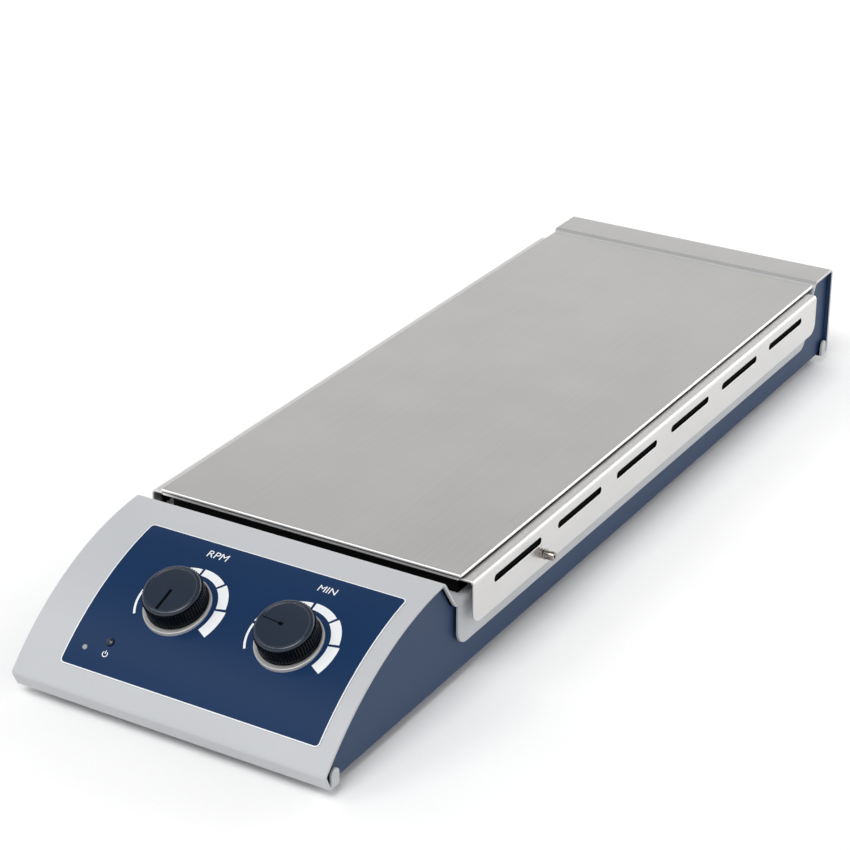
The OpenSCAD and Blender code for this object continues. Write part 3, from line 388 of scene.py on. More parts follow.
        # Nickel-plated brass blades: a pale straw colour
        self.contact_brass = MottledFinish(
            name="brass_nickel_plated", colours=("#C3B78F", "#CFC49E"), roughness=(0.26, 0.05),
            grain_mm=1.0, relief_mm=0.003, metallic=1.0).material()

    def on_solids(self) -> list[tuple[bpy.types.Material, tuple[str, ...]]]:
        """Lists the solids that keep their CAD shape, by finish.

        Returns:
            Pairs of a material and the nodes that get it.
        """
        places = range(1, 11)
        return [
            (self.zinc, (
                "plate_nuts", "rail_screws", "rail_nuts", "pot_bodies", "pot_nuts", "speed_shaft",
                "time_shaft", "drive_deck", "deck_pillars", "carrier_axles", "carrier_clips",
                "motor_stator", "motor_screws", "motor_bell", "board_standoffs",
                *(f"magnets_{k}" for k in places))),
            (self.navy_powder, ("base_pan",)),
            (self.white_acetal, ("motor_pulley", *(f"carrier_{k}" for k in places))),
            (self.board_laminate, ("control_board", "power_board")),
            (self.black_nylon, ("lamp_holder", "button_switch")),
            (self.black_rubber, ("drive_belts",)),
            (self.contact_brass, ("inlet_pins",)),
        ]


def new_object(name: str, data: bpy.types.ID) -> bpy.types.Object:
    """Puts a mesh, a text, a light or a camera into the scene as an object at the origin.

    Args:
        name: The object's name.
        data: What the object shows.

    Returns:
        The new object.
    """
    made = bpy.data.objects.new(name, data)
    bpy.context.scene.collection.objects.link(made)
    return made


def set_down(work: bmesh.types.BMesh, name: str) -> bpy.types.Object:
    """Turns a mesh in the making into an object at the origin.

    Args:
        work: The mesh in the making, which is freed.
        name: The name of the object and its mesh.

    Returns:
        The new object.
    """
    mesh = bpy.data.meshes.new(name)
    work.to_mesh(mesh)
    work.free()
    return new_object(name, mesh)


def close_up(work: bmesh.types.BMesh) -> None:
    """Joins a mesh's doubled points and turns its faces outwards."""
    bmesh.ops.remove_doubles(work, verts=work.verts, dist=SAME_POINT)
    bmesh.ops.recalc_face_normals(work, faces=work.faces)


def plain_mesh(piece: bpy.types.Object) -> bpy.types.Mesh:
    """Reads an object's finished shape.

    Args:
        piece: An object with modifiers, or a text.

    Returns:
        A new mesh of that shape.
    """
    shape = bpy.context.evaluated_depsgraph_get()
    shape.update()
    return bpy.data.meshes.new_from_object(piece.evaluated_get(shape), depsgraph=shape)


def settle(piece: bpy.types.Object) -> None:
    """Turns a piece with modifiers into a plain mesh, and takes the modifiers off.

    Args:
        piece: The object to settle, in place.
    """
    mesh = plain_mesh(piece)
    piece.modifiers.clear()
    piece.data = mesh
    mesh.name = piece.name


def smooth_by_angle(mesh: bpy.types.Mesh, degrees: float) -> None:
    """Shades a mesh smooth, with its edges sharp past an angle."""
    mesh.shade_smooth()
    mesh.set_sharp_from_angle(angle=math.radians(degrees))


def share_out(
    mesh: bpy.types.Mesh, materials: Sequence[bpy.types.Material],
    pick: Callable[[bpy.types.MeshPolygon], int],
) -> None:
    """Gives a mesh several finishes, face by face.

    Args:
        mesh: The mesh to dress.
        materials: Its materials, in the order that pick counts them in.
        pick: Chooses a face's material.
    """
    mesh.materials.clear()
    for material in materials:
        mesh.materials.append(material)
    for face in mesh.polygons:
        face.material_index = int(pick(face))


def hand_in(
    piece: bpy.types.Object, body: Body, slot: Slot, material: bpy.types.Material, *nodes: str
) -> None:
    """Gives a finished piece its material and body, and hides the nodes that it stands for.

    Args:
        piece: The finished piece.
        body: The body that it rides on.
        slot: The record's slot that its finish comes from. Not used.
        material: Its material, unless it already has some.
        nodes: The CAD nodes that it replaces, if any.
    """
    if not piece.data.materials:
        piece.data.materials.append(material)
    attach(piece, body.value)
    if nodes:
        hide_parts(*nodes)
    log.info("%s: %d faces on %s", piece.name, len(piece.data.polygons), body.value)


def softened(
    node: str, edge_mm: float, *, top_mm: float = 0.0, paint_lines: tuple[float, ...] = (),
    jog_mm: float = JOG_MM, flat_limit: float = 0.3,
) -> bpy.types.Object:
    """Copies a CAD node with its sharp edges broken, as a press, a mould or a file leaves them.

    Args:
        node: The CAD node's name.
        edge_mm: How far the edge is broken on each face.
        top_mm: A rounder radius for the edges of the node's top face, if any.
        paint_lines: Distances from the middle, in mm, at which faces are split for two paints.
        jog_mm: How close two vertices are merged.
        flat_limit: The angle in degrees up to which neighbouring faces become one.

    Returns:
        A new object with a plain mesh, at the origin.
    """
    sharp = math.radians(SHARP_DEGREES)
    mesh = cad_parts[node].data.copy()
    mesh.materials.clear()
    work = bmesh.new()
    work.from_mesh(mesh)
    bmesh.ops.remove_doubles(work, verts=work.verts, dist=jog_mm * MM)
    bmesh.ops.dissolve_limit(
        work, angle_limit=math.radians(flat_limit), verts=work.verts, edges=work.edges)
    for line in paint_lines:
        for side in (-1, 1):
            bmesh.ops.bisect_plane(
                work, geom=[*work.verts, *work.edges, *work.faces], dist=LINE_SNAP_MM * MM,
                plane_co=(side * line * MM, 0, 0), plane_no=(1, 0, 0))
    if top_mm > 0:
        top = max(vertex.co.z for vertex in work.verts) - TOP_SLACK_MM * MM
        rim = [
            edge for edge in work.edges
            if min(v.co.z for v in edge.verts) > top and edge.calc_face_angle(0.0) > sharp
        ]
        bmesh.ops.bevel(
            work, geom=rim, offset=top_mm * MM, segments=TOP_STEPS, profile=0.5, affect="EDGES")
    work.to_mesh(mesh)
    work.free()
    smooth_by_angle(mesh, SHARP_DEGREES)
    piece = new_object(f"{node}_sheet" if edge_mm > SHEET_EDGE_MM else f"{node}_dressed", mesh)
    bevel = piece.modifiers.new("broken_edge", "BEVEL")
    bevel.width = edge_mm * MM
    bevel.segments = EDGE_STEPS
    bevel.limit_method = "ANGLE"
    bevel.angle_limit = sharp
    bevel.use_clamp_overlap = False
    level = piece.modifiers.new("flat_faces", "WEIGHTED_NORMAL")
    level.keep_sharp = True
    level.weight = 100
    settle(piece)
    return piece


@dataclass(frozen=True)
class Panel:
    """The curved front panel. Places on it are given across, and down from its top edge."""

    radius: float = 155.4
    centre_y: float = -176.6074
    centre_z: float = -91.18
    top_angle: float = 93.678

    def angle(self, down: float) -> float:
        """Gives the angle about the curve's centre, in radians, of a place down the panel."""
        return math.radians(self.top_angle) + down / self.radius

    def point(self, across: float, down: float, lift: float) -> Vector:
        """Finds a point on or above the panel.

        Args:
            across: Place across, in mm.
            down: Place down the curve from the panel's top edge, in mm.
            lift: Height above the panel's face, in mm.

        Returns:
            The point in metres.
        """
        turn = self.angle(down)
        reach = self.radius + lift
        return MM * Vector((
            across, self.centre_y + reach * math.cos(turn), self.centre_z + reach * math.sin(turn)))

    def seat(self, across: float, down: float) -> Matrix:
        """Finds the seat of a piece that stands square on the panel.

        Args:
            across: Place across, in mm.
            down: Place down the curve, in mm.

        Returns:
            A matrix from mm on the seat, with y up the slope and z outwards, to metres.
        """
        turn = self.angle(down)
        out = Vector((0, math.cos(turn), math.sin(turn)))
        up_slope = Vector((0, math.sin(turn), -math.cos(turn)))
        spin = Matrix((Vector((1, 0, 0)), up_slope, out)).transposed().to_4x4()
        return Matrix.Translation(self.point(across, down, 0)) @ spin @ Matrix.Scale(MM, 4)


def slab(
    work: bmesh.types.BMesh, panel: Panel, inner: Line, outer: Line, heights: Pair, closed: bool
) -> None:
    """Lays a band of ink on the panel between two lines of equal count.

    Args:
        work: The mesh that gets the band.
        panel: The surface that it lies on.
        inner: Places (across, down) along one side.
        outer: Places along the other side.
        heights: Heights of its underside and its face over the panel, in mm.
        closed: Whether the band runs round to its start.
    """
    low, high = heights
    rows = [
        [work.verts.new(panel.point(x, s, lift)) for x, s in line]
        for line, lift in ((inner, high), (outer, high), (outer, low), (inner, low))
    ]
    count = len(inner)
    for i in range(count if closed else count - 1):
        j = (i + 1) % count
        for k in range(4):
            first, second = rows[k], rows[(k + 1) % 4]
            work.faces.new((first[i], first[j], second[j], second[i]))
    if not closed:
        for i in (0, count - 1):
            work.faces.new([row[i] for row in rows])


@dataclass
class FilmPrint:
    """The white print on the panel's film: a border line, two scales and their marks.

    Lengths are in mm and angles in degrees, clockwise from up the slope.
    """

    panel: Panel
    knob_places: tuple[Pair, Pair]
    left: float = -67.0
    right: float = 81.6
    top: float = 18.0
    bottom: float = 106.6
    corner: float = 2.5
    least_corner: float = 0.6
    corner_steps: int = 6
    side_steps: int = 40
    border_in: float = 0.52
    edge_wrap: float = 0.03
    edge_low: float = 0.12
    ink_low: float = 0.41
    ink_high: float = 0.455
    scale_inner: tuple[float, ...] = (21.9, 21.1, 20.3, 19.7, 19.6, 19.5)
    scale_outer: tuple[float, ...] = (23.1, 23.4, 23.7, 24.0, 24.7, 25.5)
    scale_start: float = -122.0
    scale_step: float = 40.4
    scale_gap: float = 3.6
    scale_arc_steps: int = 20
    mark_places: tuple[tuple[str, float, float, float], ...] = (
        ("RPM", -21.5, 28.7, 4.6), ("MIN", 42.6, 29.2, 4.2))
    capital_share: float = 0.7
    letter_half: float = 0.02
    letter_steps: int = 4
    power_place: Pair = (-45.0, 96.3)
    power_ring: Pair = (1.15, 1.6)
    power_gap: float = 38.0
    power_arc_steps: int = 24
    power_bar: Pair = (1.85, 0.1)
    power_bar_half: float = 0.22

    def outline(self, inset: float) -> Line:
        """Walks round the film's edge.

        Args:
            inset: Distance inside the film's edge.

        Returns:
            Places round it, the same count for every inset.
        """
        turn_r = max(self.corner - inset, self.least_corner)
        x0, x1 = self.left + inset + turn_r, self.right - inset - turn_r
        s0, s1 = self.top + inset + turn_r, self.bottom - inset - turn_r
        corners = ((x1, s0, 0), (x1, s1, 90), (x0, s1, 180), (x0, s0, 270))
        places: Line = []
        for k, (cx, cs, start) in enumerate(corners):
            for i in range(self.corner_steps + 1):
                a = math.radians(start + i * 90 / self.corner_steps - 90)
                places.append((cx + turn_r * math.cos(a), cs + turn_r * math.sin(a)))
            nx, ns, after = corners[(k + 1) % 4]
            a = math.radians(after - 90)
            begin = places[-1]
            end = (nx + turn_r * math.cos(a), ns + turn_r * math.sin(a))
            for i in range(1, self.side_steps):
                t = i / self.side_steps
                places.append(
                    (begin[0] + (end[0] - begin[0]) * t, begin[1] + (end[1] - begin[1]) * t))
        return places

    def stroke(self, work: bmesh.types.BMesh, inner: Line, outer: Line) -> None:
        """Lays one stroke of ink between two lines."""
        slab(work, self.panel, inner, outer, (self.ink_low, self.ink_high), False)

    def arc(
        self, work: bmesh.types.BMesh, place: Pair, radii: Pair, angles: Pair, steps: int
    ) -> None:
        """Lays a stroke of ink along an arc.

        Args:
            work: The mesh that gets the stroke.
            place: The arc's centre on the panel.
            radii: Its inner and outer radius.
            angles: Its first and last angle.
            steps: The count of steps along it.
        """
        start, end = angles
        turns = [math.radians(start + (end - start) * i / steps) for i in range(steps + 1)]
        self.stroke(work, *(
            [(place[0] + r * math.sin(a), place[1] - r * math.cos(a)) for a in turns]
            for r in radii))

    def lettering(
        self, work: bmesh.types.BMesh, word: str, across: float, down: float, height: float
    ) -> None:
        """Sets a unit mark on the film.

        Args:
            work: The mesh that gets the letters.
            word: The unit.
            across: Middle of the word.
            down: The letters' foot line.
            height: Height of a capital.
        """
        curve = bpy.data.curves.new(word, "FONT")
        curve.body = word
        curve.align_x = "CENTER"
        curve.size = height / self.capital_share
        curve.extrude = self.letter_half
        curve.resolution_u = self.letter_steps
        holder = new_object(word, curve)
        mesh = plain_mesh(holder)
        bpy.data.objects.remove(holder)
        middle = (self.ink_low + self.ink_high) / 2
        for vertex in mesh.vertices:
            x, y, z = vertex.co
            vertex.co = self.panel.point(across + x, down - y, middle + z)
        work.from_mesh(mesh)
        bpy.data.meshes.remove(mesh)

    def build(self, finishes: Finishes) -> None:
        """Lays the border, the scales and the marks as one piece of ink.

        Args:
            finishes: Where the ink's finish comes from.
        """
        work = bmesh.new()
        # The border runs out over the film's cut edge and covers it in white
        slab(work, self.panel, self.outline(self.border_in), self.outline(-self.edge_wrap),
             (self.edge_low, self.ink_high), True)
        for place in self.knob_places:
            for i, radii in enumerate(zip(self.scale_inner, self.scale_outer)):
                start = self.scale_start + i * self.scale_step + self.scale_gap / 2
                end = start + self.scale_step - self.scale_gap
                self.arc(work, place, radii, (start, end), self.scale_arc_steps)
        self.arc(work, self.power_place, self.power_ring,
                 (self.power_gap, 360 - self.power_gap), self.power_arc_steps)
        x, s = self.power_place
        self.stroke(work, *(
            [(x + half, s - rise) for rise in self.power_bar]
            for half in (-self.power_bar_half, self.power_bar_half)))
        for mark in self.mark_places:
            self.lettering(work, *mark)
        close_up(work)
        hand_in(set_down(work, "film_print"), Body.CASING, Slot.PRINTED_FILM, finishes.white_ink)


def lathe(
    work: bmesh.types.BMesh, profile: Line, steps: int, seat: Matrix
) -> list[bmesh.types.BMVert]:
    """Turns a profile round a seat's axis. One that starts and ends on the axis gives a solid.

    Args:
        work: The mesh that gets the turned piece.
        profile: Radius and height, in mm, from one end to the other.
        steps: Faces round the piece.
        seat: From mm on the seat to metres.

    Returns:
        The new vertices.
    """
    rings: list[list[bmesh.types.BMVert]] = []
    for radius, height in profile:
        angles = [i * math.tau / steps for i in range(steps if radius > 0 else 1)]
        rings.append([
            work.verts.new(seat @ Vector((radius * math.cos(a), radius * math.sin(a), height)))
            for a in angles
        ])
    for low, high in zip(rings, rings[1:]):
        for i in range(steps):
            j = (i + 1) % steps
            corners = [
                low[i % len(low)], low[j % len(low)], high[j % len(high)], high[i % len(high)]]
            work.faces.new(list(dict.fromkeys(corners)))
    return [vertex for ring in rings for vertex in ring]


class NodeShape:
    """A Geometry Nodes tree with named inputs, run once for each piece that it makes."""

    def __init__(self, name: str, inputs: dict[str, str]) -> None:
        """Starts the tree.

        Args:
            name: The tree's name.
            inputs: For each input's name, the kind of socket.
        """
        self.tree = bpy.data.node_groups.new(name, "GeometryNodeTree")
        for entry, kind in inputs.items():
            self.tree.interface.new_socket(entry, in_out="INPUT", socket_type=kind)
        self.tree.interface.new_socket(
            "Made", in_out="OUTPUT", socket_type="NodeSocketGeometry")
        self.given = add_node(self.tree, "NodeGroupInput").outputs

    def end(self, instances: bpy.types.NodeSocket) -> None:
        """Ends the tree: the instances become real and get the material.

        Args:
            instances: The output that the instances come from.
        """
        real = add_node(self.tree, "GeometryNodeRealizeInstances", {"Geometry": instances})
        dressed = add_node(self.tree, "GeometryNodeSetMaterial", {
            "Geometry": real.outputs["Geometry"], "Material": self.given["Material"],
        })
        add_node(self.tree, "NodeGroupOutput", {"Made": dressed.outputs["Geometry"]})

    def mesh(self, places: list[Vector], **sizes: object) -> bpy.types.Mesh:
        """Runs the tree once.

        Args:
            places: Points for the tree's geometry input, in metres. May be empty.
            sizes: A value for each other input, named with underscores for spaces.

        Returns:
            A plain mesh, in metres about the origin.
        """
        given = bpy.data.meshes.new("places_in_work")
        given.from_pydata(places, [], [])
        holder = new_object("shape_in_work", given)
        maker = holder.modifiers.new("shape", "NODES")
        maker.node_group = self.tree
        for entry in self.tree.interface.items_tree:
            key = entry.name.replace(" ", "_")
            if entry.in_out == "INPUT" and key in sizes:
                maker[entry.identifier] = sizes[key]
        made = plain_mesh(holder)
        bpy.data.objects.remove(holder)
        return made


class GripRibs(NodeShape):
    """Ribs in a ring: upright rods, sunk into what carries them."""

    ROD_SIDES = 8

    def __init__(self) -> None:
        """Builds the tree."""
        super().__init__("grip_ribs", {
            "Ribs": "NodeSocketInt", "Ring radius": "NodeSocketFloat",
            "Rib radius": "NodeSocketFloat", "Rib length": "NodeSocketFloat",
            "Foot height": "NodeSocketFloat", "Material": "NodeSocketMaterial",
        })
        given = self.given
        ring = add_node(self.tree, "GeometryNodeMeshCircle", {
            "Vertices": given["Ribs"], "Radius": given["Ring radius"],
        })
        rod = add_node(self.tree, "GeometryNodeMeshCylinder", {
            "Vertices": self.ROD_SIDES, "Radius": given["Rib radius"],
            "Depth": given["Rib length"],
        })
        middle = add_node(self.tree, "ShaderNodeMath", {
            0: given["Rib length"], 1: 0.5, 2: given["Foot height"],
        }, operation="MULTIPLY_ADD")
        rise = add_node(self.tree, "ShaderNodeCombineXYZ", {"Z": middle.outputs[0]})
        stood = add_node(self.tree, "GeometryNodeTransform", {
            "Geometry": rod.outputs["Mesh"], "Translation": rise.outputs[0],
        })
        put = add_node(self.tree, "GeometryNodeInstanceOnPoints", {
            "Points": ring.outputs["Mesh"], "Instance": stood.outputs["Geometry"],
        })
        self.end(put.outputs["Instances"])


class CrossHeads(NodeShape):
    """Domed screw heads with a cross recess, one on each of the points given, all facing up."""

    SEGMENTS = 40
    RINGS = 20
    # The cross's bars: length and width in head radii, and height in recess depths
    BAR_REACH = 1.25
    BAR_WIDTH = 0.3
    BAR_DEPTHS = 2.0

    def __init__(self) -> None:
        """Builds the tree."""
        super().__init__("cross_heads", {
            "Places": "NodeSocketGeometry", "Head radius": "NodeSocketFloat",
            "Dome height": "NodeSocketFloat", "Recess depth": "NodeSocketFloat",
            "Material": "NodeSocketMaterial",
        })
        given = self.given
        ball = add_node(self.tree, "GeometryNodeMeshUVSphere", {
            "Segments": self.SEGMENTS, "Rings": self.RINGS, "Radius": 1.0,
        })
        squash = add_node(self.tree, "ShaderNodeCombineXYZ", {
            "X": given["Head radius"], "Y": given["Head radius"], "Z": given["Dome height"],
        })
        head = add_node(self.tree, "GeometryNodeTransform", {
            "Geometry": ball.outputs["Mesh"], "Scale": squash.outputs[0],
        }).outputs["Geometry"]
        reach, width, deep = (
            add_node(self.tree, "ShaderNodeMath", {0: given[size], 1: times},
                     operation="MULTIPLY").outputs[0]
            for size, times in (
                ("Head radius", self.BAR_REACH), ("Head radius", self.BAR_WIDTH),
                ("Recess depth", self.BAR_DEPTHS)))
        rise = add_node(self.tree, "ShaderNodeCombineXYZ", {"Z": given["Dome height"]})
        for x, y in ((reach, width), (width, reach)):
            size = add_node(self.tree, "ShaderNodeCombineXYZ", {"X": x, "Y": y, "Z": deep})
            bar = add_node(self.tree, "GeometryNodeMeshCube", {"Size": size.outputs[0]})
            lifted = add_node(self.tree, "GeometryNodeTransform", {
                "Geometry": bar.outputs["Mesh"], "Translation": rise.outputs[0],
            })
            head = add_node(self.tree, "GeometryNodeMeshBoolean", {
                "Mesh 1": head, "Mesh 2": lifted.outputs["Geometry"],
            }, operation="DIFFERENCE", solver="EXACT").outputs["Mesh"]
        put = add_node(self.tree, "GeometryNodeInstanceOnPoints", {
            "Points": given["Places"], "Instance": head,
        })
        self.end(put.outputs["Instances"])


class Facing(Enum):
    """The way a set of screw heads faces, as the rows of its turn from facing up."""

    REAR = ((-1, 0, 0), (0, 0, 1), (0, 1, 0))
    UNDER = ((1, 0, 0), (0, -1, 0), (0, 0, -1))


@dataclass
class ScrewSet:
    """The heads of one set of screws at the corners of their node's box. Lengths are in mm."""

    node: str
    facing: Facing
    head_r: float
    dome: float
    sits: float
    recess: float
    spot_digits: int = 5
    sharp: float = 35.0

    def turn(self) -> Matrix:
        """Gives the turn from heads that face up to the way that these face."""
        return Matrix(self.facing.value).to_4x4()

    def places(self) -> list[Vector]:
        """Finds the heads' seats from the node's box, as seen facing up.

        Returns:
            One point for each head, in metres.
        """
        low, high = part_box(self.node)
        r, sits = self.head_r * MM, self.sits * MM
        back = self.turn().inverted()
        spots: dict[tuple[float, ...], Vector] = {}
        for x in (low.x + r, high.x - r):
            for along in (0, 1):
                if self.facing is Facing.REAR:
                    spot = Vector((x, high.y - sits, high.z - r if along else low.z + r))
                else:
                    spot = Vector((x, high.y - r if along else low.y + r, low.z + sits))
                spots[tuple(round(c, self.spot_digits) for c in spot)] = back @ spot
        return list(spots.values())

    def build(self, finishes: Finishes, heads: CrossHeads) -> None:
        """Makes the heads as one piece and hands it in for the node.

        Args:
            finishes: Where the plating comes from.
            heads: The tree that makes the heads.
        """
        mesh = heads.mesh(
            self.places(), Head_radius=self.head_r * MM, Dome_height=self.dome * MM,
            Recess_depth=self.recess * MM, Material=finishes.zinc)
        mesh.transform(self.turn())
        smooth_by_angle(mesh, self.sharp)
        hand_in(new_object(f"{self.node}_heads", mesh), Body.CASING, Slot.ZINC_STEEL,
                finishes.zinc, self.node)


class Pointer(Enum):
    """How a knob shows where it points."""

    SLOT = "slot"
    LINE = "line"


class KnobFace(IntEnum):
    """The parts of a knob that have a finish of their own."""

    TOP = 0
    RIB = 1
    SHADE = 2


@dataclass
class Knob:
    """A ribbed knob with a dished top, on its seat on the panel.

    Lengths are in mm. The flange's edge and the dish's lip are steps (radius, height) from the
    flange's lower corner and from the dish's upper one.
    """

    node: str
    body: Body
    seat: Matrix
    turn: float
    pointer: Pointer
    foot_z: float = 2.2
    height: float = 10.8
    hollow_r: float = 12.0
    hollow_depth: float = 3.6
    hollow_edge: float = 0.2
    flange_r: float = 15.8
    flange_edge: tuple[Pair, ...] = ((-0.2, 0.0), (0.0, 0.2), (0.0, 0.75), (-0.15, 0.95))
    core_r: float = 14.9
    core_foot: float = 1.15
    crown: float = 1.7
    crown_steps: int = 8
    dish_r: float = 12.7
    dish_depth: float = 0.35
    dish_lip: tuple[Pair, ...] = (
        (0.32, -0.02), (0.12, -0.1), (0.02, -0.245), (-0.12, -0.35), (-0.4, -0.38))
    steps: int = 124
    rib_count: int = 62
    rib_r: float = 0.5
    rib_out: float = 0.1
    rib_foot: float = 0.8
    rib_short: float = 1.1
    slot_half: float = 0.85
    slot_ends: Pair = (-0.2, 0.6)
    hole_half: float = 0.9
    hole_ends: Pair = (0.4, 2.8)
    line_half: float = 0.28
    line_end: float = 0.2
    cut_depth: float = 0.55
    tool_height: float = 3.0
    crown_share: float = 0.9
    rib_clear: float = 0.06
    flange_top: float = 1.0
    cut_clear: float = 0.12
    sharp: float = 38.0

    def profile(self) -> Line:
        """Gives the turned outline of the knob, from the hollow under it to the dish's middle.

        Returns:
            Radius and height along the outline.
        """
        z, top = self.foot_z, self.foot_z + self.height
        shape = [
            (0.0, z + self.hollow_depth), (self.hollow_r, z + self.hollow_depth),
            (self.hollow_r, z + self.hollow_edge), (self.hollow_r + self.hollow_edge, z),
        ]
        shape += [(self.flange_r + out, z + up) for out, up in self.flange_edge]
        shape += [(self.core_r, z + self.core_foot), (self.core_r, top - self.crown)]
        for i in range(1, self.crown_steps + 1):
            a = math.radians(i * 90 / self.crown_steps)
            shape.append((
                self.core_r - self.crown * (1 - math.cos(a)), top - self.crown * (1 - math.sin(a))))
        shape += [(self.dish_r + out, top + up) for out, up in self.dish_lip]
        shape.append((0.0, shape[-1][1]))
        return shape

    def cutter(self) -> bpy.types.Object:
        """Makes the tool that cuts the pointer into the dish.

        Returns:
            A temporary object, in place.
        """
        if self.pointer is Pointer.SLOT:
            half, foot = self.slot_half, self.slot_ends[0]
            end = self.dish_r - self.slot_ends[1]
            outline = [(-half, foot), (half, foot), (half, end), (-half, end)]
        else:
            half, thin = self.hole_half, self.line_half
            foot, neck = self.hole_ends
            end = self.dish_r - self.line_end
            outline = [(-half, foot), (half, foot), (half, neck), (thin, neck), (thin, end),
                       (-thin, end), (-thin, neck), (-half, neck)]
        floor = self.foot_z + self.height - self.dish_depth - self.cut_depth
        work = bmesh.new()
        spin = self.seat @ Matrix.Rotation(math.radians(self.turn), 4, "Z")
        under = work.faces.new([work.verts.new(spin @ Vector((x, y, floor))) for x, y in outline])
        raised = bmesh.ops.extrude_face_region(work, geom=[under])["geom"]
        out = spin.to_3x3() @ Vector((0, 0, self.tool_height))
        for part in raised:
            if isinstance(part, bmesh.types.BMVert):
                part.co += out
        close_up(work)
        return set_down(work, f"{self.node}_tool")

    def share_finishes(self, mesh: bpy.types.Mesh, finishes: Finishes) -> None:
        """Gives the top its finish, and paints shade on the ribs, the gaps, the foot and the cut.

        Args:
            mesh: The knob's mesh.
            finishes: Where the three finishes come from.
        """
        top = self.foot_z + self.height
        back = self.seat.inverted()

        def pick(face: bpy.types.MeshPolygon) -> KnobFace:
            """Chooses a face's finish by its place on the knob.

            Args:
                face: The face.

            Returns:
                The part of the knob that it belongs to.
            """
            place = back @ face.center
            away = place.xy.length
            if place.z < top - self.crown * self.crown_share:
                on_rib = (
                    away > self.core_r + self.rib_clear
                    and place.z > self.foot_z + self.flange_top)
                return KnobFace.RIB if on_rib else KnobFace.SHADE
            in_cut = place.z < top - self.dish_depth - self.cut_clear and away < self.dish_r
            return KnobFace.SHADE if in_cut else KnobFace.TOP

        share_out(mesh, (finishes.knob_abs, finishes.grip_abs, finishes.painted_shade_black), pick)

    def build(self, finishes: Finishes, ribs: GripRibs) -> None:
        """Turns the body, cuts the pointer, adds the ribs and hands the knob in.

        Args:
            finishes: Where the finishes come from.
            ribs: The tree that makes the ribs.
        """
        work = bmesh.new()
        lathe(work, self.profile(), self.steps, self.seat)
        close_up(work)
        piece = set_down(work, f"{self.node}_moulding")
        tool = self.cutter()
        cut = piece.modifiers.new("pointer", "BOOLEAN")
        cut.operation = "DIFFERENCE"
        cut.solver = "EXACT"
        cut.object = tool
        settle(piece)
        bpy.data.objects.remove(tool)
        grip = ribs.mesh(
            [], Ribs=self.rib_count, Ring_radius=(self.core_r + self.rib_out) * MM,
            Rib_radius=self.rib_r * MM,
            Rib_length=(self.height - self.crown - self.rib_short) * MM,
            Foot_height=(self.foot_z + self.rib_foot) * MM, Material=finishes.grip_abs)
        grip.transform(self.seat @ Matrix.Scale(1 / MM, 4))
        work = bmesh.new()
        work.from_mesh(piece.data)
        work.from_mesh(grip)
        work.to_mesh(piece.data)
        work.free()
        bpy.data.meshes.remove(grip)
        self.share_finishes(piece.data, finishes)
        smooth_by_angle(piece.data, self.sharp)
        hand_in(piece, self.body, Slot.KNOB_PLASTIC, finishes.knob_abs, self.node)


@dataclass
class Bezels:
    """The silver discs under the knobs, each with a thin rim and a face of turned rings.

    Lengths are in mm.
    """

    seats: tuple[Matrix, ...]
    radius: float = 17.3
    height: float = 1.8
    bore_r: float = 5.2
    sunk: float = 1.35
    rim_round: float = 0.3
    rim_middle: float = 0.09
    rim_in: float = 0.5
    rim_foot: float = 0.6
    rim_step: float = 0.08
    hidden_r: float = 12.0
    steps: int = 128
    sharp: float = 40.0

    def build(self, finishes: Finishes) -> None:
        """Turns the discs as one piece and marks each point with its ring's radius.

        Args:
            finishes: Where the turned metal comes from.
        """
        r, h = self.radius, self.height
        face = h - self.rim_step
        profile = [
            (self.bore_r, -self.sunk), (r, -self.sunk), (r, h - self.rim_round),
            (r - self.rim_middle, h - self.rim_middle), (r - self.rim_round, h),
            (r - self.rim_in, h), (r - self.rim_foot, face), (self.hidden_r, face),
            (self.bore_r, face), (self.bore_r, -self.sunk),
        ]
        work = bmesh.new()
        ring = work.verts.layers.float.new("ring")
        for seat in self.seats:
            back = seat.inverted()
            for vertex in lathe(work, profile, self.steps, seat):
                vertex[ring] = (back @ vertex.co).xy.length
        close_up(work)
        piece = set_down(work, "knob_discs")
        smooth_by_angle(piece.data, self.sharp)
        hand_in(piece, Body.CASING, Slot.RAIL_STEEL, finishes.turned_disc, "knob_bezels")


class StudFace(IntEnum):
    """The parts of a stud that have a finish of their own."""

    BRIGHT = 0
    SHADE = 1


